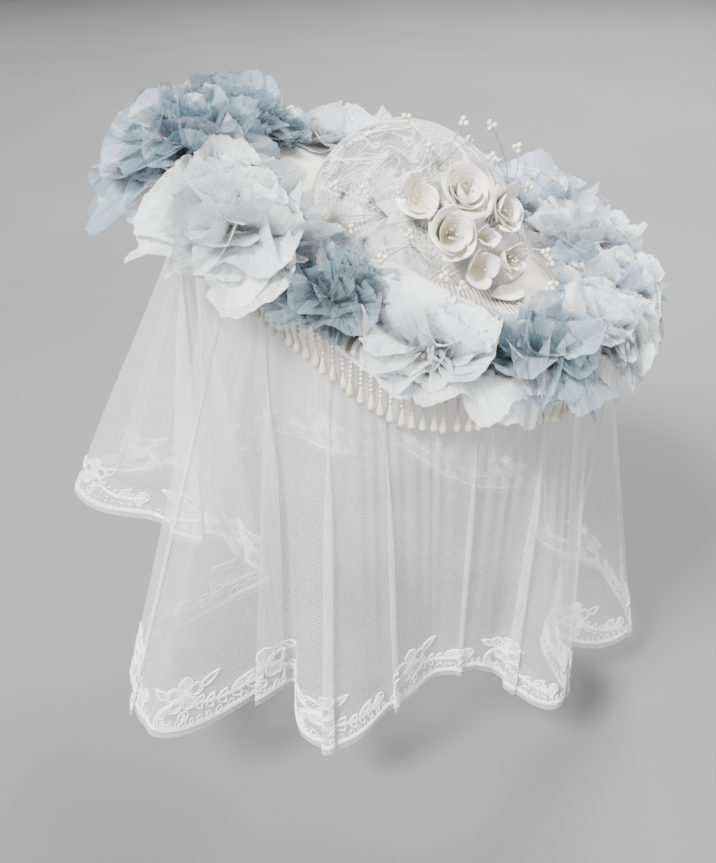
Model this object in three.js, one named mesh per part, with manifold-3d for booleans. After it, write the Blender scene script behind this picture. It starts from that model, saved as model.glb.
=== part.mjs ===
// Veil hat: a tilted lace crown and pleated brim, a ring of petal flowers, satin roses with
// pearl sprays, a fringe of pearl drops and a long net veil with a scalloped lace border.
// Millimetres, +Z up. The origin is the middle of the head opening. The front is -Y.
import * as THREE from "three";
import { mergeVertices } from "three/addons/utils/BufferGeometryUtils.js";
import Module from "manifold-3d";

// Tilt of the hat on the head, in degrees
const sideTilt = 16.5;
const frontTilt = 3.5;

// Crown
const crownHalfWidth = 92;
const crownHalfDepth = 102;
const crownHeight = 81;
const crownWall = 2.4;
const crownRoundness = 1.6;
const crownLeanLeft = 16;
const crownLeanFront = 8;

// Brim
const brimRadius = 200;
const brimWall = 2;
const brimWave = 35;
const brimMidShare = 0.42;
const pleatDepth = 0.8;
const pleatPairs = 30;

// Veil
const veilInset = 12;
const veilWall = 1;
const veilLength = 380;
const hemRadius = 230;
const veilStraightShare = 0.12;
const laceHeight = 60;
const laceWall = 1.2;
const laceRepeat = 96;
const scallopDepth = 11;

// Pearl fringe
const fringeInset = 3;
const fringeLength = 33;
const fringeBand = 7;
const fringeWall = 1.6;
const dropWidth = 5.6;
const dropTeeth = 48;

// Petal flowers
const flowerRadius = 66;
const flowerLift = 30;
const petalWall = 2;
const petalsPerFlower = 6;
const petalRipple = 0.2;
const rimWaveShare = 0.08;
const flowerFoot = 9;
const flowerWaist = 13.5;

// Satin roses and leaves
const roseRadius = 18;
const roseDepth = 26;
const roseWall = 1.4;
const leafWidth = 17;
const leafWall = 1.2;
const leafTipShare = 0.12;
const leafFoldShare = 0.2;

// Pearl sprays
const pearlRadius = 3;
const sprayWire = 0.7;
const sprayStandOff = 13;
const sprayBendAlong = 0.4;
const sprayBendOut = 0.5;

// Fitting gap between pieces that touch, and the wider one on surfaces that bend
const gap = 0.3;
const seatGap = 0.8;

// Edge of the brim: rise in shares of brimWave above the plane of the head opening, reach in
// shares of brimRadius
const BRIM_EDGE = [
  { turn: -180, rise: -0.9, reach: 1 },
  { turn: -145, rise: -0.35, reach: 1 },
  { turn: -110, rise: 0.3, reach: 1.05 },
  { turn: -80, rise: 0.45, reach: 1.07 },
  { turn: -48, rise: 0.16, reach: 1 },
  { turn: -32, rise: -0.3, reach: 0.98 },
  { turn: 0, rise: -1, reach: 1 },
  { turn: 25, rise: -0.49, reach: 1 },
  { turn: 60, rise: -0.23, reach: 0.96 },
  { turn: 90, rise: -0.14, reach: 0.94 },
  { turn: 125, rise: -0.16, reach: 0.94 },
  { turn: 150, rise: -0.6, reach: 0.97 },
];

// Crests and hollows of the veil's hem: reach in shares of hemRadius, fall of veilLength
const VEIL_FOLDS = [
  { turn: -180, reach: 1.09, fall: 0.96 },
  { turn: -162, reach: 0.87, fall: 0.96 },
  { turn: -145, reach: 1.11, fall: 0.96 },
  { turn: -128, reach: 0.93, fall: 0.95 },
  { turn: -112, reach: 1.02, fall: 0.95 },
  { turn: -97, reach: 1.5, fall: 0.95 },
  { turn: -84, reach: 0.78, fall: 1.02 },
  { turn: -70, reach: 0.62, fall: 1.04 },
  { turn: -58, reach: 1.28, fall: 1.06 },
  { turn: -46, reach: 1.36, fall: 1.04 },
  { turn: -35, reach: 0.8, fall: 1 },
  { turn: -25, reach: 0.99, fall: 0.99 },
  { turn: 8, reach: 0.66, fall: 0.82 },
  { turn: 26, reach: 0.67, fall: 0.84 },
  { turn: 41, reach: 0.87, fall: 0.92 },
  { turn: 62, reach: 0.62, fall: 0.9 },
  { turn: 82, reach: 1.01, fall: 0.96 },
  { turn: 103, reach: 0.95, fall: 0.95 },
  { turn: 122, reach: 0.77, fall: 0.95 },
  { turn: 140, reach: 1.08, fall: 0.96 },
  { turn: 160, reach: 0.88, fall: 0.96 },
];

// Flowers round the brim: from and to bound each one's sector, out, inner and outer are the
// reaches of its middle and edges in shares of the brim's own reach there, size is of
// flowerRadius and lift of flowerLift. Past the brim's edge, its upper petals nod and its
// lower ones droop by these slopes.
const FLOWERS = [
  {
    name: "flower_white_back_left", turn: -158, from: -176, to: -141, out: 0.9, inner: 0.64, outer: 1.1,
    size: 1, lift: 0.8, nod: 0, droop: 0,
  },
  {
    name: "flower_blue_left_back", turn: -122, from: -141, to: -102, out: 0.92, inner: 0.64, outer: 1.22,
    size: 1, lift: 0.8, nod: 0.3, droop: 0.5,
  },
  {
    name: "flower_blue_left", turn: -80, from: -102, to: -62, out: 0.94, inner: 0.6, outer: 1.22,
    size: 1.2, lift: 1.25, nod: 0.4, droop: 1.2,
  },
  {
    name: "flower_white_left", turn: -47, from: -62, to: -31, out: 0.95, inner: 0.62, outer: 1.32,
    size: 1.15, lift: 1.2, nod: 0.5, droop: 0.9,
  },
  {
    name: "flower_blue_front_left", turn: -22, from: -31, to: -13, out: 0.93, inner: 0.66, outer: 1.17,
    size: 1, lift: 1, nod: 0.4, droop: 0.5,
  },
  {
    name: "flower_white_front", turn: 1.5, from: -13, to: 16, out: 0.9, inner: 0.7, outer: 1.1,
    size: 1, lift: 1, nod: 0.5, droop: 0.7,
  },
  {
    name: "flower_blue_front_right", turn: 26, from: 16, to: 37, out: 0.92, inner: 0.71, outer: 1.16,
    size: 1, lift: 0.95, nod: 0.7, droop: 1,
  },
  {
    name: "flower_white_front_right", turn: 50, from: 37, to: 64, out: 0.9, inner: 0.71, outer: 1.13,
    size: 1, lift: 0.95, nod: 0.7, droop: 1,
  },
  {
    name: "flower_blue_right", turn: 77, from: 64, to: 91, out: 0.87, inner: 0.63, outer: 1.1,
    size: 1, lift: 1, nod: 0.3, droop: 0.5,
  },
  {
    name: "flower_white_right_back", turn: 106, from: 91, to: 121, out: 0.88, inner: 0.6, outer: 1.12,
    size: 1, lift: 1.2, nod: 0, droop: 0,
  },
  {
    name: "flower_blue_back_right", turn: 136, from: 121, to: 151, out: 0.9, inner: 0.62, outer: 1.15,
    size: 1, lift: 1.1, nod: 0, droop: 0,
  },
  {
    name: "flower_white_back", turn: 167, from: 151, to: 184, out: 0.9, inner: 0.62, outer: 1.1,
    size: 1, lift: 0.8, nod: 0, droop: 0,
  },
];

// Heights of a flower's rings from its middle to its rim, as shares of its own lift
const FLOWER_RINGS = [
  { share: 0.2, top: 0.86, under: 0 },
  { share: 0.42, top: 0.42, under: 0.16 },
  { share: 0.74, top: 0.96, under: 0.72 },
  { share: 1, top: 0.8, under: 0.74 },
];
const flowerHeartTop = 0.74;

// Roses on the crown: seat by turn and share of the crown's height, mouth of roseRadius,
// depth of roseDepth
const ROSES = [
  { name: "rose_upper_left", turn: -8, seat: 0.56, mouth: 0.76, depth: 0.62 },
  { name: "rose_top", turn: 17, seat: 0.68, mouth: 1, depth: 0.56 },
  { name: "rose_right", turn: 43, seat: 0.58, mouth: 0.82, depth: 0.56 },
  { name: "rose_middle", turn: 7, seat: 0.4, mouth: 0.8, depth: 0.94 },
  { name: "rose_bud", turn: 22, seat: 0.4, mouth: 0.4, depth: 0.86 },
  { name: "rose_low", turn: 20, seat: 0.2, mouth: 0.6, depth: 0.88 },
  { name: "rose_low_right", turn: 36, seat: 0.26, mouth: 0.58, depth: 0.86 },
];

// Section of a rose from its foot up the outside, over the rim and down to the heart
const ROSE_SECTION = [
  { r: 0.24, z: 0 },
  { r: 0.7, z: 0.3 },
  { r: 0.92, z: 0.66 },
  { r: 1, z: 1 },
];
const roseHeart = { r: 0.42, z: 0.5, tip: 0.78 };
const roseLobes = 5;
const roseRipple = 0.1;
const roseSides = 10;

// Satin leaves along the foot of the crown: from and to turns, clear is the middle's way out
// from the crown in shares of leafWidth
const LEAVES = [
  { name: "satin_leaf_left", from: -27, to: 9, clear: 0.65 },
  { name: "satin_leaf_right", from: 26, to: 48, clear: 0.88 },
];

// Pearl sprays: foot on the crown, then each pearl by turn, share of the crown's height
// and share of sprayStandOff out from the crown
const SPRAYS = [
  {
    name: "pearl_spray_left",
    foot: { turn: -22, up: 0.4 },
    pearls: [
      { turn: -50, up: 0.38, off: 0.9 },
      { turn: -34, up: 0.46, off: 1 },
      { turn: -47, up: 0.12, off: 1 },
      { turn: -31, up: 0.2, off: 1.1 },
    ],
  },
  {
    name: "pearl_spray_top",
    foot: { turn: 2, up: 0.82 },
    pearls: [
      { turn: 16, up: 1.06, off: 1.3 },
      { turn: -44, up: 0.98, off: 0.8 },
      { turn: 36, up: 0.97, off: 0.7 },
      { turn: -8, up: 0.86, off: 0.9 },
    ],
  },
  {
    name: "pearl_spray_right",
    foot: { turn: 62, up: 0.66 },
    pearls: [
      { turn: 52, up: 0.94, off: 2.1 },
      { turn: 66, up: 0.82, off: 2.2 },
      { turn: 44, up: 0.84, off: 1.3 },
      { turn: 76, up: 0.62, off: 1.3 },
    ],
  },
  {
    name: "pearl_spray_low_left",
    foot: { turn: -8, up: 0.26 },
    pearls: [
      { turn: -9, up: 0.32, off: 1.9 },
      { turn: 4, up: 0.14, off: 2.3 },
      { turn: -16, up: 0.13, off: 1.9 },
      { turn: 10, up: 0.1, off: 2.3 },
    ],
  },
  {
    name: "pearl_spray_low_right",
    foot: { turn: 52, up: 0.3 },
    pearls: [
      { turn: 56, up: 0.24, off: 1.8 },
      { turn: 47, up: 0.06, off: 2.6 },
      { turn: 58, up: 0.02, off: 2.2 },
      { turn: 66, up: 0.12, off: 1.6 },
    ],
  },
];

const FULL_TURN = 2 * Math.PI;
const toRadians = THREE.MathUtils.degToRad;
const lerp = THREE.MathUtils.lerp;

const wasm = await Module();
wasm.setup();

const hat = new THREE.Group();
hat.rotation.set(toRadians(frontTilt), toRadians(sideTilt), 0, "YXZ");
hat.updateMatrix();

const paint = (color, roughness) => new THREE.MeshStandardMaterial({ color, roughness, metalness: 0 });
const laceWhite = paint(0xe9ebee, 0.75);
const pleatWhite = paint(0xe4e6ea, 0.7);
const netWhite = paint(0xdfe3e8, 0.8);
const petalWhite = paint(0xebeef2, 0.8);
const petalBlue = paint(0x8fa9bb, 0.8);
const satinIvory = paint(0xf1ecdf, 0.35);
const pearlIvory = paint(0xf0e8d6, 0.2);

// Smooth value round the hat from a table of crests and hollows
function around(table, column, turn) {
  const rows = table.length;
  const t = THREE.MathUtils.euclideanModulo(turn - table[0].turn, 360) + table[0].turn;
  let i = rows - 1;
  while (table[i].turn > t) i -= 1;
  const next = table[(i + 1) % rows];
  const nextTurn = i + 1 < rows ? next.turn : next.turn + 360;
  const share = (t - table[i].turn) / (nextTurn - table[i].turn);
  const eased = share * share * (3 - 2 * share);
  return lerp(table[i][column], next[column], eased);
}

// Point of the hat's own frame at a turn from the front, a radius and a height
function polar(turn, radius, z) {
  const a = toRadians(turn);
  return new THREE.Vector3(radius * Math.sin(a), -radius * Math.cos(a), z);
}

// Half-width of the crown's oval along a turn
function ovalRadius(turn, halfWidth, halfDepth) {
  const a = toRadians(turn);
  return 1 / Math.hypot(Math.sin(a) / halfWidth, Math.cos(a) / halfDepth);
}

// Share of the crown's oval that is left at a share of its height
function domeShare(up) {
  return Math.sqrt(Math.max(0, 1 - up ** crownRoundness));
}

// Point on the crown's outer face
function crownPoint(turn, up) {
  const radius = ovalRadius(turn, crownHalfWidth, crownHalfDepth) * domeShare(up);
  const p = polar(turn, radius, up * crownHeight);
  return p.add(new THREE.Vector3(-crownLeanLeft * up, -crownLeanFront * up, 0));
}

// Direction straight out of the crown's outer face
function crownNormal(turn, up) {
  const step = 0.01;
  const low = crownPoint(turn, up - step);
  const along = crownPoint(turn, up + step).sub(low);
  const across = crownPoint(turn + 1, up).sub(crownPoint(turn - 1, up));
  return across.cross(along).normalize();
}

// Reach of the brim's edge along a turn
function brimEdge(turn) {
  return brimRadius * around(BRIM_EDGE, "reach", turn);
}

// Share of the way from the crown to the brim's edge
function brimShare(turn, radius) {
  const foot = ovalRadius(turn, crownHalfWidth, crownHalfDepth);
  return THREE.MathUtils.clamp((radius - foot) / (brimEdge(turn) - foot), 0, 1);
}

// Height of the brim's middle surface, without its pleats: it bends once, halfway out
function brimHeight(turn, radius) {
  const share = brimShare(turn, radius);
  const inner = Math.min(1, 2 * share) * brimMidShare;
  const outer = Math.max(0, 2 * share - 1) * (1 - brimMidShare);
  return brimWave * around(BRIM_EDGE, "rise", turn) * (inner + outer);
}

// Height of the brim's faces past its pleats, which grow towards the edge: side 1 is the
// upper face and -1 the lower
function brimFace(turn, radius, side) {
  return brimHeight(turn, radius) + side * (brimWall / 2 + pleatDepth * brimShare(turn, radius));
}

function toWorld(point) {
  return point.applyMatrix4(hat.matrix);
}

function bodyOf(points, faces) {
  const geometry = new THREE.BufferGeometry();
  geometry.setAttribute("position", new THREE.Float32BufferAttribute(points.flatMap((p) => [p.x, p.y, p.z]), 3));
  geometry.setIndex(faces.flat());
  return geometry;
}

// Wall between two faces of a strip: place(column, row, side) gives its points, with side
// 0 on the face whose normal is across-columns x down-rows, and side 1 behind it
function wallOf(columns, rows, closed, place) {
  const wide = closed ? columns : columns + 1;
  const points = [];
  const faces = [];
  for (let side = 0; side < 2; side += 1)
    for (let r = 0; r <= rows; r += 1)
      for (let c = 0; c < wide; c += 1) points.push(place(c, r, side));
  const at = (c, r, side) => (side * (rows + 1) + r) * wide + (c % wide);
  const quad = (a, b, c, d) => faces.push([a, b, c], [a, c, d]);
  for (let c = 0; c < columns; c += 1) {
    for (let r = 0; r < rows; r += 1) {
      quad(at(c, r, 0), at(c, r + 1, 0), at(c + 1, r + 1, 0), at(c + 1, r, 0));
      quad(at(c, r, 1), at(c + 1, r, 1), at(c + 1, r + 1, 1), at(c, r + 1, 1));
    }
    quad(at(c, 0, 0), at(c + 1, 0, 0), at(c + 1, 0, 1), at(c, 0, 1));
    quad(at(c, rows, 0), at(c, rows, 1), at(c + 1, rows, 1), at(c + 1, rows, 0));
  }
  if (!closed) {
    for (let r = 0; r < rows; r += 1) {
      quad(at(0, r, 0), at(0, r, 1), at(0, r + 1, 1), at(0, r + 1, 0));
      quad(at(columns, r, 0), at(columns, r + 1, 0), at(columns, r + 1, 1), at(columns, r, 1));
    }
  }
  return bodyOf(points, faces);
}

function add(parent, name, geometry, material) {
  const mesh = new THREE.Mesh(geometry, material);
  mesh.name = name;
  parent.add(mesh);
  return mesh;
}

function solidOf(geometry) {
  const bare = geometry.clone();
  bare.deleteAttribute("normal");
  bare.deleteAttribute("uv");
  const merged = mergeVertices(bare, 1e-4);
  return new wasm.Manifold(
    new wasm.Mesh({
      numProp: 3,
      vertProperties: new Float32Array(merged.getAttribute("position").array),
      triVerts: new Uint32Array(merged.getIndex().array),
    }),
  );
}

function geometryOf(solid) {
  const mesh = solid.getMesh();
  const geometry = new THREE.BufferGeometry();
  geometry.setAttribute("position", new THREE.BufferAttribute(new Float32Array(mesh.vertProperties), 3));
  geometry.setIndex(new THREE.BufferAttribute(new Uint32Array(mesh.triVerts), 1));
  return geometry;
}

// Crown: an oval dome with an open mouth, its top leaning a little
function crownShell() {
  const steps = 5;
  const sides = 26;
  const profile = [];
  const arc = (radius, height) => {
    for (let i = 0; i <= steps; i += 1) {
      const a = (i / steps) * (Math.PI / 2);
      const up = Math.sin(a) ** (2 / crownRoundness);
      profile.push(new THREE.Vector2(Math.cos(a) * radius, up * height));
    }
  };
  arc(1, crownHeight);
  const outer = profile.splice(0);
  arc(1 - crownWall / crownHalfWidth, crownHeight - crownWall);
  const section = outer.concat(profile.reverse());
  section.push(section[0].clone());
  section[steps].x = 0;
  section[steps + 1].x = 0;
  const shell = new THREE.LatheGeometry(section, sides);
  shell.rotateX(Math.PI / 2);
  shell.scale(crownHalfWidth, crownHalfDepth, 1);
  const lean = new THREE.Matrix4().set(
    1, 0, -crownLeanLeft / crownHeight, 0,
    0, 1, -crownLeanFront / crownHeight, 0,
    0, 0, 1, 0,
    0, 0, 0, 1,
  );
  shell.applyMatrix4(lean);
  return shell;
}

// Brim: a pleated ring from the foot of the crown to the wavy edge
function brimPlate() {
  const columns = 2 * pleatPairs;
  const rows = 2;
  return wallOf(columns, rows, true, (c, r, side) => {
    const turn = (c / columns) * 360 - 180;
    const foot = ovalRadius(turn, crownHalfWidth + 2 * gap, crownHalfDepth + 2 * gap);
    const radius = lerp(foot, brimEdge(turn), r / rows);
    const ridge = (c % 2 === 0 ? pleatDepth : -pleatDepth) * (r / rows);
    return polar(turn, radius, brimHeight(turn, radius) + ridge + (0.5 - side) * brimWall);
  });
}

// Point under the brim, inset from its edge, where the veil or the fringe hangs, in the
// standing frame
function hangPoint(turn, inset) {
  const ring = brimEdge(turn) - inset;
  return toWorld(polar(turn, ring, brimFace(turn, ring, -1) - seatGap));
}

// Hem of the veil in the standing frame, under its own hanging point
function hemPoint(turn) {
  const top = hangPoint(turn, veilInset);
  const reach = hemRadius * around(VEIL_FOLDS, "reach", turn);
  return polar(turn, reach, top.z - veilLength * around(VEIL_FOLDS, "fall", turn));
}

// Turns that cut the hem into equal steps, and the number of lace scallops round it
function hemSteps(perScallop) {
  const fine = 1440;
  const lengths = [0];
  let last = hemPoint(-180);
  for (let i = 1; i <= fine; i += 1) {
    const p = hemPoint((i / fine) * 360 - 180);
    lengths.push(lengths[i - 1] + p.distanceTo(last));
    last = p;
  }
  const scallops = Math.round(lengths[fine] / laceRepeat);
  const count = scallops * perScallop;
  const turns = [];
  let i = 0;
  for (let k = 0; k < count; k += 1) {
    const want = (k / count) * lengths[fine];
    while (lengths[i + 1] < want) i += 1;
    const share = (want - lengths[i]) / (lengths[i + 1] - lengths[i]);
    turns.push(((i + share) / fine) * 360 - 180);
  }
  return turns;
}

// Lines of the veil: each hangs straight from the ring, then runs out to its place at the hem
const perScallop = 4;
const veilTurns = hemSteps(perScallop);
const veilLines = veilTurns.map((turn) => {
  const top = hangPoint(turn, veilInset);
  const hem = hemPoint(turn);
  return { top, hem, length: top.distanceTo(hem) };
});

function veilPoint(k, share) {
  const n = veilLines.length;
  const { top, hem } = veilLines[((k % n) + n) % n];
  const spread = Math.max(0, (share - veilStraightShare) / (1 - veilStraightShare));
  return new THREE.Vector3(
    lerp(top.x, hem.x, spread),
    lerp(top.y, hem.y, spread),
    lerp(top.z, hem.z, share),
  );
}

// Point on one face of the veil's cloth, half the wall out from its middle
function veilFace(k, share, wall, side) {
  const before = veilPoint(k - 1, share);
  const after = veilPoint(k + 1, share);
  const out = new THREE.Vector3(after.y - before.y, before.x - after.x, 0).normalize();
  return veilPoint(k, share).addScaledVector(out, (0.5 - side) * wall);
}

function veilNet() {
  const rows = 4;
  return wallOf(veilLines.length, rows, true, (c, r, side) => {
    const end = 1 - (laceHeight + gap) / veilLines[c].length;
    const share = r === 0 ? 0 : lerp(veilStraightShare, end, (r - 1) / (rows - 1));
    return veilFace(c, share, veilWall, side);
  });
}

function veilLace() {
  const rows = 1;
  return wallOf(veilLines.length, rows, true, (c, r, side) => {
    const { length } = veilLines[c];
    const part = ((c % perScallop) / perScallop) * Math.PI;
    const depth = laceHeight - scallopDepth * (1 - Math.sin(part));
    const share = r === 0 ? 1 - laceHeight / length : 1 - (laceHeight - depth) / length;
    return veilFace(c, share, laceWall, side);
  });
}

// Fringe: a thin band under the brim's edge whose lower part swells into drops
function pearlFringe() {
  const columns = 2 * dropTeeth;
  const levels = [
    { down: 0, wall: fringeWall },
    { down: fringeBand, wall: fringeWall },
    { down: fringeLength, wall: dropWidth },
  ];
  return wallOf(columns, levels.length - 1, true, (c, r, side) => {
    const turn = (c / columns) * 360 - 180;
    const p = hangPoint(turn, fringeInset);
    const tooth = c % 2 === 0 ? 1 : 0.62;
    const { down, wall } = levels[r];
    const out = new THREE.Vector3(p.x, p.y, 0).normalize();
    p.z -= r === 2 ? down * tooth : down;
    return p.addScaledVector(out, (0.5 - side) * wall);
  });
}

// Flower: petals in two rows round a tuft, fused, bounded by its neighbours' sectors
function flower(row) {
  const spokes = 3 * petalsPerFlower;
  const centre = polar(row.turn, row.out * brimEdge(row.turn), 0);
  const lift = flowerLift * row.lift;
  const edgeFrom = polar(row.from, 1, 0);
  const edgeTo = polar(row.to, 1, 0);
  // Reach along a direction before a neighbour's sector, the crown side or the outer edge
  const reachAlong = (x, y, ripple) => {
    let reach = flowerRadius * row.size * ripple;
    for (const [edge, sign] of [[edgeFrom, 1], [edgeTo, -1]]) {
      const inside = sign * (edge.x * centre.y - edge.y * centre.x) - 2 * gap;
      const closing = -sign * (edge.x * y - edge.y * x);
      if (closing > 1e-6) reach = Math.min(reach, inside / closing);
    }
    const fits = (share) => {
      const px = centre.x + x * reach * share;
      const py = centre.y + y * reach * share;
      const radius = Math.hypot(px, py);
      const edge = brimEdge(row.turn);
      return radius > row.inner * edge && radius < row.outer * edge;
    };
    let share = 1;
    while (share > 0.2 && !fits(share)) share -= 0.02;
    return reach * share;
  };
  const points = [];
  const faces = [];
  const ringAt = (side, ring, s) => 2 + (side * FLOWER_RINGS.length + ring) * spokes + (s % spokes);
  // Height that the petals start from, which falls away past the brim's edge
  const surface = (x, y, fall) => {
    const turn = THREE.MathUtils.radToDeg(Math.atan2(x, -y));
    const radius = Math.hypot(x, y);
    const past = Math.max(0, radius - brimEdge(turn) - dropWidth);
    return brimFace(turn, radius, 1) - fall * past;
  };
  const middle = surface(centre.x, centre.y, 0);
  points.push(new THREE.Vector3(centre.x, centre.y, middle + flowerHeartTop * lift));
  points.push(new THREE.Vector3(centre.x, centre.y, middle + gap));
  for (let side = 0; side < 2; side += 1)
    for (const ring of FLOWER_RINGS)
      for (let s = 0; s < spokes; s += 1) {
        const a = (s / spokes) * FULL_TURN + toRadians(row.turn);
        const wave = Math.cos(petalsPerFlower * (a - toRadians(row.turn)));
        const ripple = 1 - (petalRipple * (1 - wave)) / 2;
        const full = reachAlong(Math.cos(a), Math.sin(a), ripple);
        const distance = ring.under === 0 ? flowerFoot : Math.max(flowerWaist, ring.share * full);
        const x = centre.x + Math.cos(a) * distance;
        const y = centre.y + Math.sin(a) * distance;
        const rimWave = ring.share === 1 ? wave * rimWaveShare * lift : 0;
        const top = ring.top * lift + rimWave;
        const under = ring.under === 0 ? gap : Math.min(ring.under * lift + rimWave, top - petalWall);
        const fall = (side === 0 ? row.nod : row.droop) * ring.share;
        points.push(new THREE.Vector3(x, y, surface(x, y, fall) + (side === 0 ? top : under)));
      }
  const last = FLOWER_RINGS.length - 1;
  for (let s = 0; s < spokes; s += 1) {
    faces.push([0, ringAt(0, 0, s), ringAt(0, 0, s + 1)]);
    faces.push([1, ringAt(1, 0, s + 1), ringAt(1, 0, s)]);
    for (let ring = 0; ring < last; ring += 1) {
      faces.push([ringAt(0, ring, s), ringAt(0, ring + 1, s), ringAt(0, ring + 1, s + 1)]);
      faces.push([ringAt(0, ring, s), ringAt(0, ring + 1, s + 1), ringAt(0, ring, s + 1)]);
      faces.push([ringAt(1, ring, s), ringAt(1, ring + 1, s + 1), ringAt(1, ring + 1, s)]);
      faces.push([ringAt(1, ring, s), ringAt(1, ring, s + 1), ringAt(1, ring + 1, s + 1)]);
    }
    faces.push([ringAt(0, last, s), ringAt(1, last, s), ringAt(1, last, s + 1)]);
    faces.push([ringAt(0, last, s), ringAt(1, last, s + 1), ringAt(0, last, s + 1)]);
  }
  return bodyOf(points, faces);
}

// Seat on the crown's own facets: the point, and the direction straight out of it
const crownForm = new THREE.Mesh(crownShell());
const seatRay = new THREE.Raycaster();

function crownSeat(turn, up) {
  const out = crownNormal(turn, up);
  const from = crownPoint(turn, up).addScaledVector(out, crownHeight);
  seatRay.set(from, out.negate());
  const hit = seatRay.intersectObject(crownForm)[0];
  return { point: hit.point, out: hit.face.normal.clone() };
}

// Rose: a cup of petals with a bud at its heart, open between them
function rose(row) {
  const mouth = roseRadius * row.mouth;
  const depth = roseDepth * row.depth;
  const section = [new THREE.Vector2(0, 0)];
  for (const { r, z } of ROSE_SECTION) section.push(new THREE.Vector2(r * mouth, z * depth));
  section.push(new THREE.Vector2(mouth - roseWall, depth));
  section.push(new THREE.Vector2(roseHeart.r * mouth, roseHeart.z * depth));
  section.push(new THREE.Vector2(0, roseHeart.tip * depth));
  const cup = new THREE.LatheGeometry(section, roseSides);
  cup.rotateX(Math.PI / 2);
  const p = cup.getAttribute("position");
  for (let i = 0; i < p.count; i += 1) {
    const high = THREE.MathUtils.smoothstep(p.getZ(i) / depth, 0.5, 1);
    const a = Math.atan2(p.getY(i), p.getX(i));
    const wave = 1 + roseRipple * high * Math.cos(roseLobes * a);
    p.setXY(i, p.getX(i) * wave, p.getY(i) * wave);
  }
  return cup;
}

function seatRose(mesh, row) {
  const seat = crownSeat(row.turn, row.seat);
  mesh.position.copy(seat.point).addScaledVector(seat.out, gap);
  mesh.quaternion.setFromUnitVectors(new THREE.Vector3(0, 0, 1), seat.out);
}

// Leaf: a pointed satin blade that lies on the brim along the foot of the crown
function satinLeaf(row) {
  const columns = 8;
  const rows = 2;
  return wallOf(columns, rows, false, (c, r, side) => {
    const along = c / columns;
    const turn = lerp(row.from, row.to, along);
    const middle = ovalRadius(turn, crownHalfWidth, crownHalfDepth) + row.clear * leafWidth;
    const half = (leafWidth / 2) * Math.max(leafTipShare, Math.sin(Math.PI * along));
    const across = r - 1;
    const radius = middle + across * half;
    const fold = Math.abs(across) * half * leafFoldShare;
    const base = brimFace(turn, radius, 1) + 2 * gap;
    return polar(turn, radius, base + fold + (1 - side) * leafWall);
  });
}

// Point off the crown, which stays outside it above the top too
function sprayPoint(pearl) {
  const up = Math.min(pearl.up, 0.92);
  const p = crownPoint(pearl.turn, up);
  p.addScaledVector(crownNormal(pearl.turn, up), pearl.off * sprayStandOff);
  p.z += (pearl.up - up) * crownHeight;
  return p;
}

// Spray: pearls on thin wires that leave the crown from one foot, all fused
function pearlSpray(row) {
  const seat = crownSeat(row.foot.turn, row.foot.up);
  const footOut = seat.out;
  const foot = seat.point.clone().addScaledVector(footOut, gap + 2 * sprayWire);
  const corners = [0, 1, 2, 3, 4].map((i) => {
    const a = (i / 5) * FULL_TURN;
    return new THREE.Vector2(sprayWire * Math.cos(a), sprayWire * Math.sin(a));
  });
  const ring = new THREE.Shape(corners);
  const parts = [];
  for (const pearl of row.pearls) {
    const end = sprayPoint(pearl);
    const raised = foot.clone().lerp(end, sprayBendAlong).addScaledVector(footOut, sprayStandOff * sprayBendOut);
    const route = new THREE.CatmullRomCurve3([foot, raised, end]);
    const wire = new THREE.ExtrudeGeometry(ring, { steps: 2, extrudePath: route });
    parts.push(solidOf(wire));
    const bead = new THREE.SphereGeometry(pearlRadius, 10, 3);
    bead.translate(end.x, end.y, end.z);
    parts.push(solidOf(bead));
  }
  const knot = new THREE.SphereGeometry(2 * sprayWire, 10, 3);
  knot.translate(foot.x, foot.y, foot.z);
  const spray = parts.reduce((all, part) => all.add(part), solidOf(knot));
  return geometryOf(spray);
}

const veilHat = new THREE.Group();
veilHat.add(hat);
add(hat, "crown_shell", crownShell(), laceWhite);
add(hat, "brim_plate", brimPlate(), pleatWhite);
add(veilHat, "veil_net", veilNet(), netWhite);
add(veilHat, "veil_lace_border", veilLace(), laceWhite);
add(veilHat, "pearl_fringe", pearlFringe(), pearlIvory);
for (const row of FLOWERS) add(hat, row.name, flower(row), row.name.includes("blue") ? petalBlue : petalWhite);
for (const row of ROSES) seatRose(add(hat, row.name, rose(row), satinIvory), row);
for (const row of LEAVES) add(hat, row.name, satinLeaf(row), satinIvory);
for (const row of SPRAYS) add(hat, row.name, pearlSpray(row), pearlIvory);

export default veilHat;
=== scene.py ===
# Veil hat: lace crown, pleated brim, organza petal flowers, satin roses with pearl sprays,
# a fringe of pearl drops and a long net veil with an embroidered border. Metres, front is -Y.
import random
from collections import namedtuple
from functools import lru_cache
from math import atan2, cos, degrees, exp, hypot, pi, radians, sin, sqrt

import bpy
import numpy as np
from mathutils import Matrix, Vector, noise


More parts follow.
